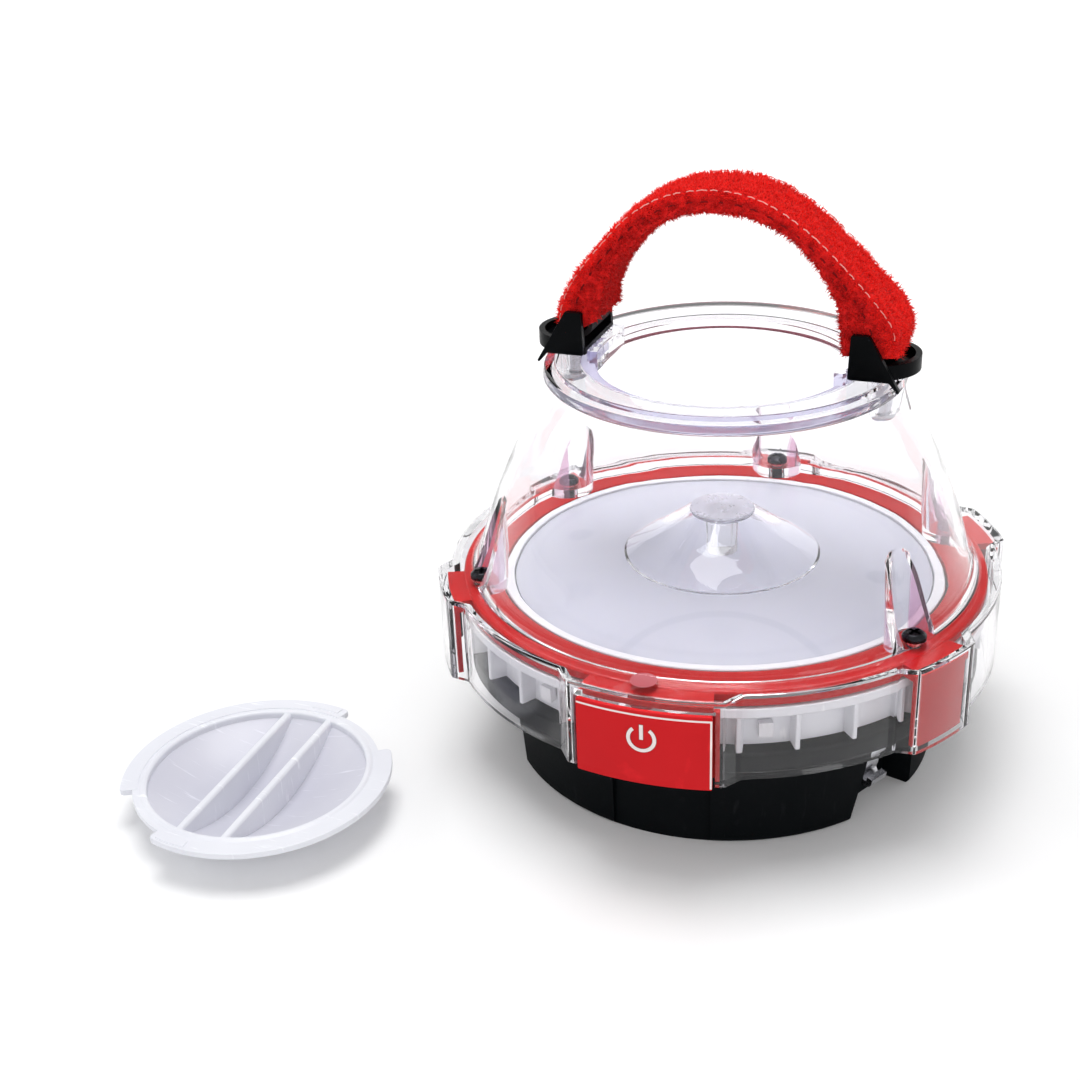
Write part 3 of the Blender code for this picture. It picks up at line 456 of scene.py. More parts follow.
def diffuser_material():
    """Frosted sheet, with painted shade in faint shapes where the boards and emitters below it darken it, and a faint
    painted shade ring near its edge.
    """
    m, nt, p = new_material("frosted_diffuser")
    coord = nt.nodes.new("ShaderNodeTexCoord")
    slow = speckle(nt, 25.0, 3.0)
    base = ramp(nt, slow.outputs["Fac"], [(0.3, (0.53, 0.54, 0.62)), (0.7, (0.59, 0.60, 0.68))])

    def shade_ring_mask(x, y, r, soft, inner=None):
        sub = nt.nodes.new("ShaderNodeVectorMath")
        sub.operation = "SUBTRACT"
        sub.inputs[1].default_value = (x * MM, y * MM, 0)
        nt.links.new(coord.outputs["Object"], sub.inputs[0])
        flat = nt.nodes.new("ShaderNodeVectorMath")
        flat.operation = "MULTIPLY"
        flat.inputs[1].default_value = (1, 1, 0)
        nt.links.new(sub.outputs["Vector"], flat.inputs[0])
        ln = nt.nodes.new("ShaderNodeVectorMath")
        ln.operation = "LENGTH"
        nt.links.new(flat.outputs["Vector"], ln.inputs[0])
        mr = nt.nodes.new("ShaderNodeMapRange")
        mr.interpolation_type = "SMOOTHSTEP"
        mr.inputs["From Min"].default_value = (r - soft) * MM
        mr.inputs["From Max"].default_value = (r + soft) * MM
        mr.inputs["To Min"].default_value = 1
        mr.inputs["To Max"].default_value = 0
        nt.links.new(ln.outputs["Value"], mr.inputs["Value"])
        if inner is None:
            return mr.outputs["Result"]
        inn = nt.nodes.new("ShaderNodeMapRange")
        inn.interpolation_type = "SMOOTHSTEP"
        inn.inputs["From Min"].default_value = (inner - soft) * MM
        inn.inputs["From Max"].default_value = (inner + soft) * MM
        nt.links.new(ln.outputs["Value"], inn.inputs["Value"])
        mul = nt.nodes.new("ShaderNodeMath")
        mul.operation = "MULTIPLY"
        nt.links.new(mr.outputs["Result"], mul.inputs[0])
        nt.links.new(inn.outputs["Result"], mul.inputs[1])
        return mul.outputs["Value"]

    colour = base.outputs["Color"]
    # painted shade: bluish dark rings and spots laid into the sheet's colour over the parts below it
    marks = [(*pol(40.9, 89), 3.4, 1.0, None, 0.16), (*pol(39.2, -91), 3.4, 1.2, None, 0.12),
             (*pol(40, 15), 4.2, 1.6, None, 0.04), (*pol(40, -45), 4.2, 1.6, None, 0.05),
             (15.0, -56.4, 26.6, 0.5, 24.2, 0.10), (0, 0, 49.6, 1.2, 47.6, 0.05)]
    for x, y, r, soft, inner, depth in marks:
        mask = shade_ring_mask(x, y, r, soft, inner)
        scale = nt.nodes.new("ShaderNodeMath")
        scale.operation = "MULTIPLY"
        scale.inputs[1].default_value = depth
        nt.links.new(mask, scale.inputs[0])
        mix = nt.nodes.new("ShaderNodeMix")
        mix.data_type = "RGBA"
        nt.links.new(scale.outputs["Value"], mix.inputs["Factor"])
        nt.links.new(colour, mix.inputs["A"])
        mix.inputs["B"].default_value = (0.16, 0.2, 0.3, 1)
        colour = mix.outputs["Result"]
    nt.links.new(colour, p.inputs["Base Color"])
    fine = speckle(nt, 700.0, 3.0)
    gloss = span(nt, fine.outputs["Fac"], 0.28, 0.4)
    nt.links.new(gloss.outputs["Result"], p.inputs["Roughness"])
    bump(nt, p, fine.outputs["Fac"], 0.00001)
    p.inputs["Subsurface Weight"].default_value = 0.25
    p.inputs["Subsurface Radius"].default_value = (0.004, 0.004, 0.005)
    p.inputs["Subsurface Scale"].default_value = 1.0
    return m


def plush_material(name="red_plush", dark=(0.40, 0.004, 0.006), light=(0.86, 0.018, 0.016), sheen=0.3):
    m, nt, p = new_material(name)
    clumps = speckle(nt, 420.0, 5.0, 0.65)
    col = ramp(nt, clumps.outputs["Fac"], [(0.32, dark), (0.62, light)])
    nt.links.new(col.outputs["Color"], p.inputs["Base Color"])
    p.inputs["Roughness"].default_value = 0.9
    p.inputs["Sheen Weight"].default_value = sheen
    p.inputs["Sheen Roughness"].default_value = 0.4
    p.inputs["Sheen Tint"].default_value = (1.0, 0.35, 0.3, 1)
    p.inputs["Specular IOR Level"].default_value = 0.15
    bump(nt, p, clumps.outputs["Fac"], 0.0003)
    return m


def webbing_material():
    m, nt, p = new_material("black_webbing")
    coord = nt.nodes.new("ShaderNodeTexCoord")
    wave = nt.nodes.new("ShaderNodeTexWave")
    wave.bands_direction = "Y"
    wave.inputs["Scale"].default_value = 500.0
    wave.inputs["Distortion"].default_value = 1.0
    nt.links.new(coord.outputs["Object"], wave.inputs["Vector"])
    col = ramp(nt, wave.outputs["Fac"], [(0.2, (0.008, 0.006, 0.007)), (0.8, (0.03, 0.025, 0.027))])
    nt.links.new(col.outputs["Color"], p.inputs["Base Color"])
    p.inputs["Roughness"].default_value = 0.85
    bump(nt, p, wave.outputs["Fac"], 0.0002)
    return m


plush_mat = plush_material()
pile_mat = plush_material("red_pile", (0.92, 0.008, 0.007), (1.0, 0.018, 0.012), sheen=0.15)
# painted shade: a darker copy of the pile for the strap's edges and inner face, which face away from the light
pile_shade_mat = plush_material("red_pile_inner_painted_shade", (0.50, 0.004, 0.005), (0.86, 0.012, 0.010), sheen=0.2)
# painted shade: dark red dashes along the strap's rolled edges, built as stitches
dash_shade_mat = plastic("stitch_dark_painted_shade", (0.12, 0.002, 0.003), (0.20, 0.004, 0.005), (0.7, 0.85), grain=2500.0, shine=0.1)
webbing_mat = webbing_material()
diffuser_mat = diffuser_material()

# ================================================================ clear housing
DOME = [(64.3, 50.8), (61.9, 56.0), (60.1, 61.3), (58.5, 66.2), (56.2, 72.1), (54.0, 77.4), (51.6, 82.6),
        (49.1, 88.0), (46.9, 93.2), (44.5, 100.5)]
WALL = 2.2
FRONT_AZ = 1.1


def lobed(r, lobe_r, front, front_foot, side, side_foot):
    """The skirt's outline: a circle that steps out at each of the six lobes, corners eased."""
    pts = []
    centres = (FRONT_AZ, 60, 120, 180, 240, 300)
    for k, c in enumerate(centres):
        a, f = (front, front_foot) if k == 0 else (side, side_foot)
        start = c + f
        stop = centres[k + 1] - side_foot if k < 5 else 360 + FRONT_AZ - front_foot
        pts.append(pol(r, c - f))
        n = 12 if k == 0 else 8
        pts.append(pol(lobe_r, c - a))
        pts += [pol(lobe_r, c - a + 1.2 + 2 * (a - 1.2) * i / n) for i in range(n + 1)]
        pts.append(pol(lobe_r, c + a))
        pts.append(pol(r, c + f))
        n = 20
        pts += [pol(r, start + 1.2 + (stop - start - 2.4) * i / n) for i in range(n + 1)]
    return rounded(pts, 1.1, 4)


def stack(name, levels, smooth=32):
    """A solid through outlines of the same number of points, one above the other."""
    bm = bmesh.new()
    rings = [[bm.verts.new((x * MM, y * MM, z * MM)) for x, y in outline] for outline, z in levels]
    bm.faces.new(rings[0])
    bm.faces.new(rings[-1])
    n = len(rings[0])
    for a, b in zip(rings, rings[1:]):
        for i in range(n):
            j = (i + 1) % n
            bm.faces.new((a[i], a[j], b[j], b[i]))
    return add(name, bm, smooth)


def skirt_path(inset=0.0, wall=0.0):
    d = 0.5 if wall else 0.0
    return lobed(70 - inset - wall, 73.3 - inset - wall, 14.7 - d, 18.0 - d, 7.5 - d, 10.4 - d)


def make_housing():
    body = stack("clear_shell", [(skirt_path(0.35), 28.4), (skirt_path(0.1), 28.5), (skirt_path(), 28.8),
                                 (skirt_path(), 50.3), (skirt_path(0.15), 50.65), (skirt_path(0.5), 50.8),
                                 (skirt_path(0.8), 50.8)])
    fine = [tuple(p) for p in smooth_path(DOME[::-1], 3)]
    outside = lathe("dome_outside", [
        (0, 105), (38.2, 105), (41.1, 105), (41.33, 104.9), (41.4, 104.7), (41.4, 103.8), (43.5, 103.8), (43.9, 103.65),
        (44.1, 103.2)] + fine[:-1] + [(64.2, 51.2), (64.7, 50.9), (65.4, 50.72), (65.4, 49.9), (0, 49.9)],
        closed=False)
    body = join(body, outside)
    skirt_in = stack("skirt_inside", [(skirt_path(0, 2.1), 27.4), (skirt_path(0, 2.1), 48.9)])
    inner = [(r - WALL, z) for r, z in fine[2:-2]]
    dome_in = lathe("dome_inside", [(0, 100.9), (41.6, 100.9), (42.2, 100.6)] + inner
                    + [(62.0, 50.8), (62.0, 48.2), (0, 48.2)], closed=False)
    pillars = merged("pillars", [
        rod(f"w{a}", 7.1, (*pol(SCREW_CIRCLE_R, a), 47.5), (*pol(SCREW_CIRCLE_R, a), 78), 64, 8.45)
        for a in SCREW_AZ] + [
        rod(f"boss{s}", 3.6, (s * CLIP_SCREW_X, 0, 94.4), (s * CLIP_SCREW_X, 0, 102), 48) for s in (-1, 1)])
    webs = merged("webs", [block(f"web{s}", (min(s * 40, s * 46), -0.9, 94.7),
                                 (max(s * 40, s * 46), 0.9, 102)) for s in (-1, 1)])
    dome_in = cut(dome_in, pillars, webs)
    pockets = merged("pockets", [
        rod(f"p{a}", 5.3, (*pol(SCREW_CIRCLE_R, a), 51.0), (*pol(SCREW_CIRCLE_R, a), 80), 64, 6.6)
        for a in SCREW_AZ])
    holes = merged("holes", [
        rod(f"h{a}", 1.8, (*pol(SCREW_CIRCLE_R, a), 47), (*pol(SCREW_CIRCLE_R, a), 53), 32)
        for a in SCREW_AZ] + [
        rod(f"c{s}", 1.8, (s * CLIP_SCREW_X, 0, 93), (s * CLIP_SCREW_X, 0, 107), 32) for s in (-1, 1)])
    ribs = []
    for s in (-1, 1):
        teeth = [(29.0, -10.5)]
        for k in range(6):
            y = -10.5 + 21 * k / 6
            teeth += [(31.1, y), (31.8, y + 0.5), (31.8, y + 3.0), (31.1, y + 3.5)]
        teeth += [(29.0, 10.5)]
        ribs.append(prism(f"rib{s}", [(s * x, y) for x, y in teeth], 101.5, 106.4))
    ribs = merged("ribs", ribs)
    way = lathe("opening", [(0, 108), (35.2, 108), (35.2, 103.5), (35.0, 103.3), (31.4, 103.3), (31.2, 103.1),
                            (31.2, 98), (0, 98)], closed=False)
    copy = ribs.copy()
    copy.data = ribs.data.copy()
    looks.objects.link(copy)
    way = cut(way, copy)
    body = join(body, ribs)
    window = slab("button_way", 70.6, 76, FRONT_AZ - 13.0, FRONT_AZ + 13.0, 27.4, 47.5, 24)
    return cut(body, skirt_in, dome_in, pockets, holes, way, window)


def paint_housing_reflections(housing):
    """Paints reflection and shade into walls of the clear housing: a pink painted reflection on the screw wells, lilac
    painted shade on the front of the collar bore, a dark red painted reflection and shade on the back of the collar
    rim, and a pink painted highlight on the lobes' corners.
    """
    for m in (pocket_reflection_mat, collar_shade_mat, rim_reflection_mat, frame_highlight_mat):
        housing.data.materials.append(m)
    wells = [pol(SCREW_CIRCLE_R, a) for a in SCREW_AZ]
    for f in housing.data.polygons:
        c, up = f.center / MM, abs(f.normal.z)
        r = math.hypot(c.x, c.y)
        d, x, y = min((math.hypot(c.x - x, c.y - y), x, y) for x, y in wells)
        if 51.2 < c.z < 79 and 4.9 < d < 8.6:
            away = abs((c.x - x) * f.normal.x + (c.y - y) * f.normal.y) / d
            along = abs(c.x * f.normal.x + c.y * f.normal.y) / r
            if away > 0.93 and along < 0.75:
                f.material_index = 1
        elif c.z > 98.0 and 31.0 < r < 35.3 and c.y < 0:
            f.material_index = 2
        elif c.z > 103.0 and r > 41.2 and c.y > 4 and up < 0.9:
            f.material_index = 3
        elif c.z < 50.8 and 69.0 < r < 73.2 and abs(c.x * f.normal.x + c.y * f.normal.y) / r < 0.6 and up < 0.3:
            f.material_index = 4
    return housing


paint_housing_reflections(place(make_housing(), nodes=("clear_housing",), material=clear_mat))


# the round gate mark the mould leaves on the flange, over the front lobe
gate = lathe("gate_mark", [(0, 50.9), (2.9, 50.9), (3.1, 50.84), (3.1, 50.72), (0, 50.72)], 48, closed=False)
gate.data.transform(Matrix.Translation((0, -66.6 * MM, 0)))
place(gate, material=gate_mat)


# ================================================================ rings under the flange
def screw_ways(z0, z1, r=1.8):
    return merged("ways", [rod(f"y{a}", r, (*pol(SCREW_CIRCLE_R, a), z0), (*pol(SCREW_CIRCLE_R, a), z1), 32)
                           for a in SCREW_AZ])


red = lathe("red_ring", rounded([(66.3, 48.5), (66.7, 48.1), (66.7, 46.2), (56.5, 46.2), (56.5, 48.5)], 0.25))
tabs = [slab(f"t{a}", 64.9, 70.9, a - 6.9, a + 6.9, 46.5, 48.2, 12) for a in SCREW_AZ]
tabs.append(slab("t0", 64.9, 70.5, FRONT_AZ - 12.6, FRONT_AZ + 12.6, 46.5, 48.2, 24))
panels = [slab(f"q{a}", 69.4, 70.6, a - 6.4, a + 6.4, 29.0, 47.3, 12) for a in SCREW_AZ]
panels.append(slab("q0", 69.2, 70.3, FRONT_AZ - 13.7, FRONT_AZ + 13.7, 29.2, 47.1, 24))
edges = [slab(f"e{s}", 69.3, 70.9, FRONT_AZ + s * 13.35 - 0.42, FRONT_AZ + s * 13.35 + 0.42, 29.0, 47.2, 2)
         for s in (-1, 1)]
red = join(red, merged("red_tabs", tabs), merged("red_panels", panels), merged("red_edges", edges))
red = cut(red, screw_ways(45, 50), rod("stem_way", 3.3, (0, -73, 39), (0, -67.6, 39), 40))
place(red, nodes=("red_trim_ring",), material=red_mat)

baffle = lathe("white_baffle", rounded([
    (66.8, 45.6), (67.0, 45.4), (67.0, 43.4), (66.6, 43.0), (62.4, 43.0), (62.4, 33.4), (60.6, 33.4),
    (60.6, 34.7), (56.5, 34.7), (56.5, 36.2), (60.6, 36.2), (60.6, 43.2), (57.5, 43.2), (57.5, 45.6)], 0.15))
fins = []
for k in range(30):
    a = 6 + 12 * k
    ux, uy = pol(1, a)
    shape = [(ux * r - s * uy * h, uy * r + s * ux * h) for r, s, h in
             ((61.6, -1, 0.6), (66.1, -1, 0.6), (66.4, -1, 0.4), (66.4, 1, 0.4), (66.1, 1, 0.6), (61.6, 1, 0.6))]
    fins.append(prism(f"f{k}", shape, 33.7, 43.6))
columns = [rod(f"k{a}", 3.4, (*pol(SCREW_CIRCLE_R, a), 33.6), (*pol(SCREW_CIRCLE_R, a), 44.6), 32)
           for a in SCREW_AZ]
baffle = join(baffle, merged("fins", fins), merged("columns", columns))
baffle = cut(baffle, screw_ways(32, 47))
place(baffle, nodes=("baffle_ring",), material=white_mat)

place(lathe("white_bezel", rounded([
    (55.6, 48.6), (55.9, 48.3), (55.9, 38.7), (53.9, 38.7), (53.9, 45.4), (51.2, 45.4), (51.2, 46.1),
    (53.5, 46.1), (53.5, 48.6)], 0.25)), nodes=("bezel_ring",), material=white_mat)

sheet = [tuple(p) for p in smooth_path([(0.0, 51.3), (13.0, 51.3), (26.0, 51.25), (39.0, 50.1), (53.1, 48.0)], 6)]
under = [tuple(p) for p in smooth_path([(50.0, 46.4), (38.0, 48.2), (26.0, 49.25), (13.0, 49.3), (0.0, 49.3)], 6)]
place(lathe("frosted_sheet", sheet + [(53.1, 46.6), (52.9, 46.4)] + under, closed=False),
      nodes=("diffuser_disc",), material=diffuser_mat)

# ================================================================ cone lens
cone_out = [tuple(p) for p in smooth_path([(8.25, 63.8), (11.8, 61.0), (16.5, 57.6), (20.9, 54.85), (24.7, 52.25)], 6)]
lens = lathe("lens_body", [(0, 64.2), (7.7, 64.2), (8.05, 64.1)] + cone_out + [(25.1, 51.85), (25.1, 51.7), (24.9, 51.6)]
             + [(24.2, 51.6), (20.0, 53.9), (15.4, 56.2), (11.2, 59.3), (7.4, 62.2), (4.6, 62.2), (4.1, 61.4),
                (3.9, 51.6), (0, 51.6)], closed=False, smooth=25)
for v in lens.data.vertices:
    r = math.hypot(v.co.x, v.co.y) / MM
    if 3.0 < r < 4.8 and v.co.z / MM < 62.3:
        push = 1 + 0.018 * math.cos(math.atan2(v.co.y, v.co.x) * 12)
        v.co.x, v.co.y = v.co.x * push, v.co.y * push
lens = place(lens, nodes=("cone_lens",), material=lens_mat)
lens.data.materials.append(column_highlight_mat)
lens.data.materials.append(lens_top_mat)
for f in lens.data.polygons:
    if f.center.z / MM > 63.9:
        f.material_index = 2
    # the centre column's walls take the painted highlight
    if 3.0 < math.hypot(f.center.x, f.center.y) / MM < 4.4 and abs(f.normal.z) < 0.5:
        f.material_index = 1

# ================================================================ power button
def wrapped(name, shape, r0, r1):
    """A flat (s, z) outline laid on the button's curved face, from radius r0 to r1."""
    bm = bmesh.new()
    flat = [bm.verts.new((s, z, 0)) for s, z in shape]
    bm.faces.new(flat)
    bmesh.ops.triangulate(bm, faces=bm.faces)
    bmesh.ops.subdivide_edges(bm, edges=[e for e in bm.edges if e.calc_length() > 1.2], cuts=2)
    bmesh.ops.triangulate(bm, faces=bm.faces)
    top = bmesh.ops.duplicate(bm, geom=list(bm.verts) + list(bm.edges) + list(bm.faces))
    rim = [e for e in top["geom"] if isinstance(e, bmesh.types.BMEdge) and e.is_boundary]
    raised = {v for v in top["geom"] if isinstance(v, bmesh.types.BMVert)}
    below = {(round(v.co.x, 5), round(v.co.y, 5)): v for v in bm.verts if v not in raised}
    for e in rim:
        a, b = e.verts
        c = below[(round(b.co.x, 5), round(b.co.y, 5))]
        d = below[(round(a.co.x, 5), round(a.co.y, 5))]
        bm.faces.new((a, b, c, d))
    for v in bm.verts:
        r = r1 if v in raised else r0
        s, z = v.co.x, v.co.y
        a = s / r1
        v.co = Vector((r * math.sin(a) * MM, -r * math.cos(a) * MM, z * MM))
    return add(name, bm)


def plate_path(inset):
    a = 12.5 - math.degrees(inset / 73.4)
    return sector(71.6, 73.4 - (0.25 if inset > 0.3 else 0.0), FRONT_AZ - a, FRONT_AZ + a, 24)


button = stack("button_plate", [(plate_path(0.5), 27.6), (plate_path(0.15), 27.75), (plate_path(0.0), 28.1),
                                (plate_path(0.0), 46.5), (plate_path(0.15), 46.85), (plate_path(0.5), 47.0)])
button = join(button, rod("stem", 2.6, (0, -72.2, 39), (0, -68.7, 39), 32))
place(button, "button", nodes=("power_button",), material=button_mat)
half = 73.4 * math.radians(12.5)
mid = 73.4 * math.radians(FRONT_AZ)
SYMBOL_S, SYMBOL_Z, SYMBOL_R = mid, 39.75, 3.06


def on_ring(r, t):
    return (SYMBOL_S + r * math.sin(math.radians(t)), SYMBOL_Z + r * math.cos(math.radians(t)))


def power_mark(name, wide, r1):
    """The on/off symbol: an open ring and a bar."""
    half_w = 0.43 + wide
    ring_shape = [on_ring(SYMBOL_R + half_w, t) for t in range(38, 323, 6)]
    ring_shape += [on_ring(SYMBOL_R - half_w, t) for t in range(320, 37, -6)]
    s, z = SYMBOL_S, SYMBOL_Z
    bar_shape = [(s - half_w, z - 0.2 - wide), (s + half_w, z - 0.2 - wide), (s + half_w, z + SYMBOL_R + 0.6 + wide),
                 (s - half_w, z + SYMBOL_R + 0.6 + wide)]
    return merged(name, [wrapped("ring", ring_shape, 73.3, r1), wrapped("bar", bar_shape, 73.3, r1)])


place(power_mark("button_mark", 0.0, 73.48), "button", material=print_and_highlight_mat)
place(power_mark("button_mark_outline", 0.12, 73.44), "button", material=ink_mat)
# painted highlight: a pale raised strip along the plate's top and its right-hand edge, in the white print's finish, for
# the light those edges catch
place(merged("button_edge_painted_highlight", [
    slab("line_top", 73.3, 73.46, FRONT_AZ - 12.4, FRONT_AZ + 12.45, 45.6, 46.05, 40),
    slab("line_side", 73.3, 73.455, FRONT_AZ + 12.1, FRONT_AZ + 12.45, 28.1, 45.7, 2)]),
    "button", material=print_and_highlight_mat)

# ================================================================ base
base = lathe("black_base", rounded([
    (65.3, 32.8), (65.8, 32.3), (65.8, 28.2), (65.3, 27.6), (58.4, 27.6), (56.2, 25.4), (55.8, 14.0),
    (55.4, 0.9), (54.6, 0), (36.5, 0), (36.5, 12), (33.9, 12), (33.9, 14.4), (38.9, 14.4), (38.9, 2.4),
    (53.0, 2.4), (53.2, 26.6), (55.9, 29.6), (55.9, 32.8)], 0.5, 4))
walls = merged("notch_walls", [slab(f"nw{s}", 45.9, 54.2, s * 62 - 14.6, s * 62 + 14.6, 1.1, 23.4, 16)
                               for s in (-1, 1)])
notches = merged("notches", [
    loft(f"n{s}", sector(48, 60, s * 62 - 12.4, s * 62 + 12.4, 16),
         sector(48, 60, s * 62 - (12.4 if s < 0 else 6.5), s * 62 + (12.4 if s > 0 else 6.5), 16),
         -1, 21.4) for s in (-1, 1)])
front = slab("front_notch", 54.7, 60, -12.7, 12.7, -1, 24.6, 24)
hx, hy = pol(51.6, 62)
tx, ty = math.cos(math.radians(62)), math.sin(math.radians(62))
bore = rod("pin_bore", 1.3, (hx - tx * 9.4, hy - ty * 9.4, 16.6), (hx + tx * 12.7, hy + ty * 12.7, 16.6), 32)
base = join(base, walls)
base = cut(base, notches, front, screw_ways(26, 34), bore)
place(base, nodes=("base_shell",), material=black_mat)

# ================================================================ hook in its notch
def hooked(obj):
    """Puts a piece made in the pin's frame (X along the pin, -Y outwards) where the pin is."""
    turn = Matrix.Translation((hx * MM, hy * MM, 16.6 * MM)) @ Matrix.Rotation(math.radians(62), 4, "Z")
    obj.data.transform(turn)
    return obj


def strip_outline(points, half):
    left, right = [], []
    for i, p in enumerate(points):
        d = (points[min(i + 1, len(points) - 1)] - points[max(i - 1, 0)]).normalized()
        n = Vector((-d.y, d.x))
        left.append(p + n * half)
        right.append(p - n * half)
    return [tuple(p) for p in left] + [tuple(p) for p in reversed(right)]


run = smooth_path([(0.0, 0.0), (0.0, -2.8), (-0.1, -5.2), (0.4, -7.2), (-0.6, -8.9), (-2.3, -8.8),
                   (-2.8, -7.2)], 6)
bm = bmesh.new()
shape = strip_outline(run, 0.8)
ends = [[bm.verts.new((x * MM, y * MM, z * MM)) for y, z in shape] for x in (-4.8, 0.8)]
bm.faces.new(ends[0])
bm.faces.new(ends[1])
for i in range(len(shape)):
    j = (i + 1) % len(shape)
    bm.faces.new((ends[0][i], ends[0][j], ends[1][j], ends[1][i]))
hook = add("steel_hook", bm)
hook = join(hook, rod("eye", 2.4, (-4.8, 0, 0), (0.8, 0, 0), 40))
hook = cut(hook, rod("eye_bore", 1.3, (-6, 0, 0), (6, 0, 0), 32))
place(hooked(hook), "hook", nodes=("hang_hook",), material=steel_mat)
place(hooked(soften(rod("steel_hook_pin", 1.0, (-9.1, 0, 0), (12.4, 0, 0), 32), 0.2)), nodes=("hook_pin",),
      material=steel_mat)

# ================================================================ screws
def pan_screw(name, length):
    head = rounded([(2.9, 0.0), (2.9, 1.0), (2.1, 1.75), (0.8, 1.9)], 0.6, 4, closed=False)
    s = lathe(name, [(0, 1.9), (0.8, 1.9)] + head[::-1][1:-1] + [(2.9, 0), (1.5, 0), (1.5, -length), (0, -length)],
              48, closed=False)
    a = block("xa", (-1.75, -0.42, 0.85), (1.75, 0.42, 3))
    b = block("xb", (-0.42, -1.75, 0.85), (0.42, 1.75, 3))
    return cut(s, a, b)


for k, a in enumerate(SCREW_AZ):
    s = pan_screw(f"black_screw_{k + 1}", 22.6)
    x, y = pol(SCREW_CIRCLE_R, a)
    s.data.transform(Matrix.Translation((x * MM, y * MM, 51.3 * MM)) @ Matrix.Rotation(math.radians(a + 20 * k), 4, "Z"))
    place(s, nodes=(f"housing_screw_{k + 1}",), material=screw_mat)
for side, label in ((-1, "left"), (1, "right")):
    s = pan_screw(f"steel_screw_{label}", 12.8)
    s.data.transform(Matrix.Translation((side * CLIP_SCREW_X * MM, 0, 94.1 * MM)) @ Matrix.Rotation(math.pi, 4, "X"))
    place(s, nodes=(f"clip_screw_{label}",), material=steel_mat)

# ================================================================ handle clips
for side, label in ((-1, "left"), (1, "right")):
    def arc_x(r, ts):
        return [(side * (37.0 + r * math.sin(math.radians(t))), -r * math.cos(math.radians(t))) for t in ts]
    foot = [(side * 32.2, -10.4)] + arc_x(10.4, range(0, 181, 5)) + [(side * 32.2, 10.4)]
    body = prism(f"black_clip_{label}", foot, 105.3, 107.1)
    rim = prism("rim", arc_x(10.4, range(0, 181, 5)) + arc_x(8.9, range(180, -1, -5)), 105.6, 108.9)
    cheek = [(side * x, z) for x, z in rounded([(32.25, 105.4), (41.8, 105.4), (44.0, 102.9), (44.4, 103.3),
                                                (36.9, 116.2), (32.7, 116.2)], 0.6, 3)]
    post = rod("post", 3.0, (side * CLIP_SCREW_X, 0, 106.0), (side * CLIP_SCREW_X, 0, 108.1), 40)
    body = join(body, rim, upright("cf", cheek, -11.6, -10.0), upright("cb", cheek, 10.0, 11.6), post)
    body = cut(body, rod("sw", 1.8, (side * CLIP_SCREW_X, 0, 104), (side * CLIP_SCREW_X, 0, 107.3), 32),
               rod("pw", 1.55, (side * CLIP_X, -11.1, PIN_Z), (side * CLIP_X, 11.1, PIN_Z), 32))
    body = soften(body, 0.18, 2, 40)
    place(body, nodes=(f"handle_clip_{label}",), material=clip_mat)
    pin = soften(rod(f"steel_pin_{label}", 1.25, (side * CLIP_X, -10.9, PIN_Z), (side * CLIP_X, 10.9, PIN_Z), 32), 0.25)
    place(pin, nodes=(f"strap_pin_{label}",), material=steel_mat)

# ================================================================ plush strap
STRAP_HALF = 9.4
OUTER = [(-39.0, 109.4), (-39.4, 112.5), (-38.9, 116.5), (-36.8, 121.5), (-32.8, 127.4), (-27.8, 133.1),
         (-22.6, 138.7), (-17.2, 142.7), (-12.0, 145.3), (-6.0, 146.8), (0.0, 147.3), (6.2, 146.6),
         (11.0, 145.1), (15.5, 142.8), (20.5, 139.4), (25.0, 135.8), (30.0, 131.3), (35.0, 126.6),
         (39.6, 122.0), (42.8, 118.0), (43.6, 114.0), (43.2, 110.6)]
INNER = [(30.5, 110.2), (30.2, 113.0), (29.6, 118.3), (27.6, 124.6), (24.4, 130.1), (20.4, 134.5),
         (15.6, 137.9), (8.8, 140.9), (0.0, 141.9), (-8.0, 141.1), (-15.0, 137.9), (-19.6, 133.6),
         (-23.6, 129.2), (-27.0, 124.0), (-28.6, 119.4), (-29.1, 116.6), (-29.6, 113.6)]


def even(path, count):
    """The path as count + 1 points at even distances."""
    pts = smooth_path(path, 12)
    run = [0.0]
    for a, b in zip(pts, pts[1:]):
        run.append(run[-1] + (b - a).length)
    out, i = [], 0
    for k in range(count + 1):
        want = run[-1] * k / count
        while i < len(pts) - 2 and run[i + 1] < want:
            i += 1
        t = (want - run[i]) / max(run[i + 1] - run[i], 1e-9)
        out.append(pts[i].lerp(pts[i + 1], min(max(t, 0), 1)))
    return out


SPAN = 150
outer_run = even(OUTER, SPAN)
inner_run = even(INNER[::-1], SPAN)


def strap_section(k):
    """One cross-section of the strap: outer face, rolled edges, inner face; points as (y, depth)."""
    ring = []
    flat, e = STRAP_HALF - 1.0, 1.15
    for i in range(13):
        ring.append((-flat + 2 * flat * i / 12, 0.0 + 0.0))
    for i in range(1, 8):
        t = math.pi * i / 8
        ring.append((flat + e * math.sin(t), (1 - math.cos(t)) / 2))
    for i in range(13):
        ring.append((flat - 2 * flat * i / 12, 1.0))
    for i in range(1, 8):
        t = math.pi * i / 8
        ring.append((-flat - e * math.sin(t), 1 - (1 - math.cos(t)) / 2))
    return ring


def strap_point(k, y, depth):
    a, b = outer_run[k], inner_run[k]
    p = a.lerp(b, depth)
    return Vector((p.x, y, p.y))


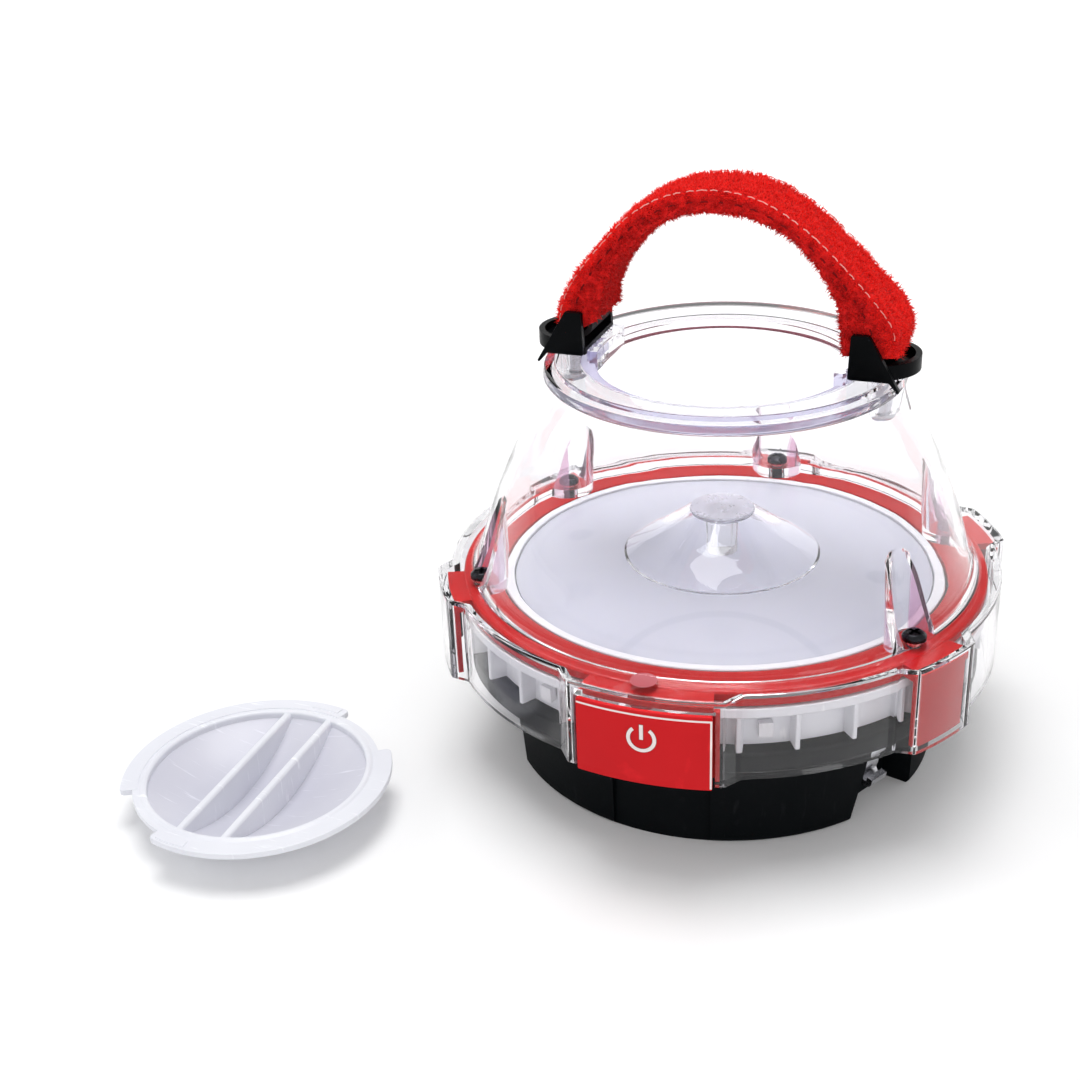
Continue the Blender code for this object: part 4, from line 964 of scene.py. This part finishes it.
def make_strap():
    rng = random.Random(7)
    bm = bmesh.new()
    rings = []
    for k in range(SPAN + 1):
        pts = []
        for y, d in strap_section(k):
            pts.append(bm.verts.new(strap_point(k, y, d) * MM))
        rings.append(pts)
    n = len(rings[0])
    for a, b in zip(rings, rings[1:]):
        for i in range(n):
            j = (i + 1) % n
            bm.faces.new((a[i], a[j], b[j], b[i]))
    bm.faces.new(rings[0])
    bm.faces.new(rings[-1])
    bmesh.ops.recalc_face_normals(bm, faces=bm.faces)
    bm.normal_update()
    quads = [f for f in bm.faces if len(f.verts) == 4]
    areas = [f.calc_area() for f in quads]
    for v in bm.verts:
        q = v.co * 1000
        v.co += v.normal * MM * (0.5 * noise.noise(q * 0.22) + 0.28 * noise.noise(q * 0.8))
    picks = rng.choices(range(len(quads)), weights=areas, k=30000)
    tufts = {"outer": [], "inner": []}
    for i in picks:
        f = quads[i]
        vs = [v.co for v in f.verts]
        s, t = rng.random(), rng.random()
        p = vs[0].lerp(vs[1], s).lerp(vs[3].lerp(vs[2], s), t)
        around = (i % n)
        # the tufts on the edges and inner face take the darker pile, a painted shade
        band = "outer" if around < 15 or around > n - 4 else "inner"
        tufts[band].append((p.copy(), f.normal.copy()))
    base = add("plush_strap", bm, 60)
    return base, pile_of("plush_pile_outer", tufts["outer"], rng), pile_of("plush_pile_inner", tufts["inner"], rng)


def pile_of(name, tufts, rng):
    """Short bent fibres, each a closed little blade, standing on the given points."""
    bm = bmesh.new()
    for p, nrm in tufts:
        lean = Vector((rng.gauss(0, 1), rng.gauss(0, 1), rng.gauss(0, 1))) * 0.45
        d = (nrm + lean).normalized()
        if d.dot(nrm) < 0.25:
            d = (d + nrm).normalized()
        side = d.orthogonal().normalized()
        other = d.cross(side)
        length = rng.uniform(0.7, 1.35) * MM
        w = rng.uniform(0.09, 0.16) * MM
        bend = (Vector((rng.gauss(0, 1), rng.gauss(0, 1), rng.gauss(0, 1))) * 0.35 * length)
        rootp = p - nrm * 0.35 * MM
        mid = rootp + d * length * 0.75
        tip = rootp + d * length * 1.25 + bend
        r0 = [bm.verts.new(rootp + (side * math.cos(a) + other * math.sin(a)) * w) for a in (0, 2.094, 4.189)]
        r1 = [bm.verts.new(mid + (side * math.cos(a) + other * math.sin(a)) * w * 0.9) for a in (0, 2.094, 4.189)]
        tv = bm.verts.new(tip)
        bm.faces.new(r0[::-1])
        for i in range(3):
            j = (i + 1) % 3
            bm.faces.new((r0[i], r0[j], r1[j], r1[i]))
            bm.faces.new((r1[i], r1[j], tv))
    pile = add(name, bm, 0)
    pile.data.shade_smooth()
    return pile


strap, pile_outer, pile_inner = make_strap()
place(strap, nodes=("plush_sleeve",), material=plush_mat, flat=False)
place(pile_outer, material=pile_mat, flat=False)
place(pile_inner, material=pile_shade_mat, flat=False)


def stitches(name, y, depth, on, off, thick, lift, k0=4, k1=SPAN - 4):
    """A row of sewn stitches along one edge of the strap."""
    bm = bmesh.new()
    pts = [strap_point(k, y, depth) for k in range(k0, k1)]
    out = [(strap_point(k, y, 0.0) - strap_point(k, y, 1.0)).normalized() for k in range(k0, k1)]
    travelled, start = 0.0, None
    for i in range(1, len(pts)):
        travelled += (pts[i] - pts[i - 1]).length
        phase = travelled % (on + off)
        if phase < on and start is None:
            start = i
        elif phase >= on and start is not None:
            a, b = pts[start] + out[start] * lift, pts[i] + out[i] * lift
            mid_point = a.lerp(b, 0.5) + out[i] * 0.16
            for p, q in ((a, mid_point), (mid_point, b)):
                d = (q - p).normalized()
                s1 = d.orthogonal().normalized()
                s2 = d.cross(s1)
                r0, r1 = [], []
                for t in range(6):
                    w = s1 * math.cos(t * math.pi / 3) * thick + s2 * math.sin(t * math.pi / 3) * thick
                    r0.append(bm.verts.new((p - d * 0.05 + w) * MM))
                    r1.append(bm.verts.new((q + d * 0.05 + w) * MM))
                bm.faces.new(r0[::-1])
                bm.faces.new(r1)
                for t in range(6):
                    u = (t + 1) % 6
                    bm.faces.new((r0[t], r0[u], r1[u], r1[t]))
            start = None
    return add(name, bm)


place(merged("stitching", [stitches("front_row", -9.75, 0.16, 1.7, 1.1, 0.13, 0.95),
                           stitches("rear_row", 9.75, 0.16, 1.7, 1.1, 0.13, 0.95)]),
      material=thread_mat)
# painted shade: dark dashes along the rolled edges, laid as a second row of stitches
place(merged("dark_dashes_painted_shade", [stitches("front_dark", -10.35, 0.46, 1.3, 2.6, 0.2, 0.0),
                                stitches("rear_dark", 10.35, 0.46, 1.3, 2.6, 0.2, 0.0)]),
      material=dash_shade_mat)

# ================================================================ reflector cap
def make_cap():
    bowl = []
    for i in range(25):
        r = 29.0 * math.sin(i / 24 * math.pi / 2)
        bowl.append((r, 9.3 * (r / 29.0) ** 2))
    inside = [(27.3 * i / 24, 1.7 + 7.6 * (i / 24) ** 2) for i in range(25)]
    rim = [(27.3, 10.3), (27.36, 10.66), (27.55, 10.94), (27.85, 11.1), (28.2, 11.15), (28.55, 11.1), (28.85, 10.95),
           (29.05, 10.8), (29.3, 10.74), (30.6, 10.74), (30.85, 10.64), (30.9, 10.5), (30.9, 9.5), (30.8, 9.35), (30.6, 9.3)]
    cap = lathe("white_cap", inside + rim + bowl[::-1], closed=False)
    pieces = []
    for k, (a0, a1) in enumerate(((-19.5, 125.5), (163.7, 302.6))):
        count = 60
        def path(inset):
            d = math.degrees(inset / 34)
            lo, hi, corner = a0 + d, a1 - d, 1.3
            turn = [math.radians(15 * t) for t in range(7)]
            ease = [(34 - inset - corner * (1 - math.sin(t)), math.degrees(corner * (1 - math.cos(t)) / 34)) for t in turn]
            outer = ([pol(r, lo + e) for r, e in ease]
                     + [pol(34 - inset, lo + ease[-1][1] + (hi - lo - 2 * ease[-1][1]) * i / count) for i in range(1, count)]
                     + [pol(r, hi - e) for r, e in ease[::-1]])
            return outer + [pol(29.6, hi + (lo - hi) * i / count) for i in range(count + 1)]
        pieces.append(stack(f"ws{k}", [(path(0.3), 9.3), (path(0.06), 9.38), (path(0), 9.6), (path(0), 10.6),
                                       (path(0.06), 10.8), (path(0.3), 10.9)]))
        pieces.append(stack(f"pad{k}", [(sector(31.0 + i, 33.3 - i, a0 + 3.2 + 1.7 * i, a0 + 18.0 - 1.7 * i, 16), z)
                                        for i, z in ((0, 10.7), (0, 10.95), (0.1, 11.08), (0.3, 11.15))]))
    ribs = []
    for x0, x1 in ((-7.2, -5.0), (5.0, 7.2)):
        ribs.append(stack("rib", [(rounded([(x0 + i, -28.4), (x1 - i, -28.4), (x1 - i, 28.4), (x0 + i, 28.4)], 0.2, 2), z)
                                  for i, z in ((0, 0.9), (0, 9.9), (0.1, 10.3), (0.32, 10.58), (0.62, 10.74))]))
    ribs = merged("ribs", ribs)
    envelope = lathe("envelope", [(0, 12), (30.0, 12), (30.0, 9.6)] + [(r, z + 0.2) for r, z in bowl[::-1][1:-1]]
                     + [(0, 0.2)], closed=False)
    ribs = boolean(ribs, "INTERSECT", [envelope])
    return join(cap, *pieces, ribs)


cap = place(make_cap(), "reflector", at=(CX, CY), nodes=("reflector_cap",), material=cap_mat)
# the bowl's upward faces take the darker copy, a painted shade in the hollow
cap.data.materials.append(bowl_shade_mat)
for f in cap.data.polygons:
    if f.normal.z > 0.3 and f.center.z / MM < 10.0:
        f.material_index = 1

# ================================================================ finishes of the pieces that stay as packed
KEPT = {
    "led_board": led_board_mat, "dome_led": emitter_mat, "led_deck": white_mat, "driver_board": board_mat,
    "switch_plunger": black_mat, "tact_switch": steel_mat, "switch_board": board_mat, "base_gasket": rubber_mat,
    "battery_door": black_mat, "door_screw": steel_mat, "cell_tray": black_mat,
    "contact_plate_front": steel_mat, "contact_plate_rear": steel_mat, "lead_red": lead_red_mat,
    "lead_black": lead_black_mat, "webbing_core": webbing_mat}
for k in range(6):
    KEPT[f"flare_led_{k + 1}"] = red_led_mat
for k in range(4):
    KEPT[f"battery_cell_{k + 1}"] = cell_mat
    KEPT[f"cell_spring_{k + 1}"] = steel_mat
HIDDEN_LOOKS = {
    "clear_housing": clear_mat, "red_trim_ring": red_mat, "baffle_ring": white_mat, "bezel_ring": white_mat,
    "diffuser_disc": diffuser_mat, "cone_lens": lens_mat, "power_button": button_mat, "base_shell": black_mat,
    "hang_hook": steel_mat, "hook_pin": steel_mat, "handle_clip_left": clip_mat, "handle_clip_right": clip_mat,
    "clip_screw_left": steel_mat, "clip_screw_right": steel_mat, "strap_pin_left": steel_mat,
    "strap_pin_right": steel_mat, "plush_sleeve": plush_mat, "reflector_cap": cap_mat}
for k in range(5):
    HIDDEN_LOOKS[f"housing_screw_{k + 1}"] = screw_mat
for name, material in {**KEPT, **HIDDEN_LOOKS}.items():
    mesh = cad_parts[name].data
    mesh.materials.clear()
    mesh.materials.append(material)

# ================================================================ floor, light, camera
floor_mat, nt, p = new_material("studio_floor")
grain = speckle(nt, 6.0, 3.0)
tone = ramp(nt, grain.outputs["Fac"], [(0.3, (0.93, 0.93, 0.93)), (0.7, (0.95, 0.95, 0.95))])
nt.links.new(tone.outputs["Color"], p.inputs["Base Color"])
p.inputs["Roughness"].default_value = 0.7
p.inputs["Specular IOR Level"].default_value = 0.2
p.inputs["Emission Color"].default_value = (1, 1, 1, 1)
place_coord = nt.nodes.new("ShaderNodeTexCoord")
away = nt.nodes.new("ShaderNodeVectorMath")
away.operation = "LENGTH"
nt.links.new(place_coord.outputs["Object"], away.inputs[0])
lift = nt.nodes.new("ShaderNodeMapRange")
lift.interpolation_type = "SMOOTHSTEP"
lift.inputs["From Min"].default_value = 0.12
lift.inputs["From Max"].default_value = 0.7
lift.inputs["To Min"].default_value = 0.02
lift.inputs["To Max"].default_value = 0.45
nt.links.new(away.outputs["Value"], lift.inputs["Value"])
nt.links.new(lift.outputs["Result"], p.inputs["Emission Strength"])
bm = bmesh.new()
sweep = []
for i in range(40):
    t = i / 39
    y = -3.0 + 7.0 * t
    z = 0.0 if y < 2.5 else (y - 2.5) ** 2 * 0.9
    sweep.append((y, z))
rows = [[bm.verts.new((x, y, z)) for x in (-5, 5)] for y, z in sweep]
for a, b in zip(rows, rows[1:]):
    bm.faces.new((a[0], a[1], b[1], b[0]))
floor = add("floor", bm, 60)
floor.data.materials.append(floor_mat)

scene = bpy.context.scene
world = bpy.data.worlds.new("studio")
scene.world = world
world.use_nodes = True
wn = world.node_tree
sky = wn.nodes["Background"]
sky.inputs["Strength"].default_value = 1.0
coord = wn.nodes.new("ShaderNodeTexCoord")
sep = wn.nodes.new("ShaderNodeSeparateXYZ")
wn.links.new(coord.outputs["Generated"], sep.inputs["Vector"])
shade = wn.nodes.new("ShaderNodeValToRGB")
while len(shade.color_ramp.elements) < 5:
    shade.color_ramp.elements.new(0.5)
for e, (at, v) in zip(shade.color_ramp.elements, ((0.0, 0.85), (0.15, 0.85), (0.4, 0.74), (0.7, 0.62), (1.0, 0.62))):
    e.position = at
    e.color = (v, v, v * 1.01, 1)
wn.links.new(sep.outputs["Z"], shade.inputs["Fac"])
aim = wn.nodes.new("ShaderNodeVectorMath")
aim.operation = "DOT_PRODUCT"
aim.inputs[1].default_value = (-0.33, 0.80, 0.50)
wn.links.new(coord.outputs["Generated"], aim.inputs[0])
patch = wn.nodes.new("ShaderNodeMapRange")
patch.interpolation_type = "SMOOTHSTEP"
patch.inputs["From Min"].default_value = 0.80
patch.inputs["From Max"].default_value = 0.95
patch.inputs["To Min"].default_value = 1.0
patch.inputs["To Max"].default_value = 0.25
wn.links.new(aim.outputs["Value"], patch.inputs["Value"])
dimmed = wn.nodes.new("ShaderNodeVectorMath")
dimmed.operation = "SCALE"
wn.links.new(shade.outputs["Color"], dimmed.inputs[0])
wn.links.new(patch.outputs["Result"], dimmed.inputs["Scale"])
rays = wn.nodes.new("ShaderNodeLightPath")
seen = wn.nodes.new("ShaderNodeVectorMath")
seen.operation = "MAXIMUM"
wn.links.new(dimmed.outputs["Vector"], seen.inputs[0])
wn.links.new(rays.outputs["Is Camera Ray"], seen.inputs[1])
wn.links.new(seen.outputs["Vector"], sky.inputs["Color"])


def lamp(name, at, to, size, power, size_y=None):
    data = bpy.data.lights.new(name, "AREA")
    data.energy = power
    data.size = size
    if size_y:
        data.shape = "RECTANGLE"
        data.size_y = size_y
    obj = bpy.data.objects.new(name, data)
    scene.collection.objects.link(obj)
    obj.location = at
    obj.rotation_euler = (Vector(to) - Vector(at)).to_track_quat("-Z", "Y").to_euler()
    return obj


lamp("overhead", (-0.1, 0.12, 1.15), (0, 0, 0.0), 0.6, 7.0)
lamp("left", (-1.0, -0.3, 0.8), (0, 0, 0.05), 0.35, 0.8)
lamp("right", (1.0, -0.6, 0.8), (0, 0, 0.05), 0.35, 1.0)

cam_data = bpy.data.cameras.new("camera")
cam = bpy.data.objects.new("camera", cam_data)
scene.collection.objects.link(cam)
cam_data.sensor_width = 36
cam_data.sensor_fit = "HORIZONTAL"
cam_data.lens = 53.43
cam_data.clip_start = 0.01
right = Vector((0.933498, 0.356386, -0.039635))
up = Vector((-0.123906, 0.424310, 0.896999))
back = -Vector((-0.336495, 0.832435, -0.440252))
cam.matrix_world = Matrix(((right.x, up.x, back.x, 0.127228), (right.y, up.y, back.y, -0.342824),
                           (right.z, up.z, back.z, 0.237961), (0, 0, 0, 1)))
scene.camera = cam
scene.view_settings.view_transform = "Standard"
scene.view_settings.look = "None"
scene.cycles.max_bounces = 24
scene.cycles.transmission_bounces = 24
scene.cycles.transparent_max_bounces = 32
scene.cycles.glossy_bounces = 8
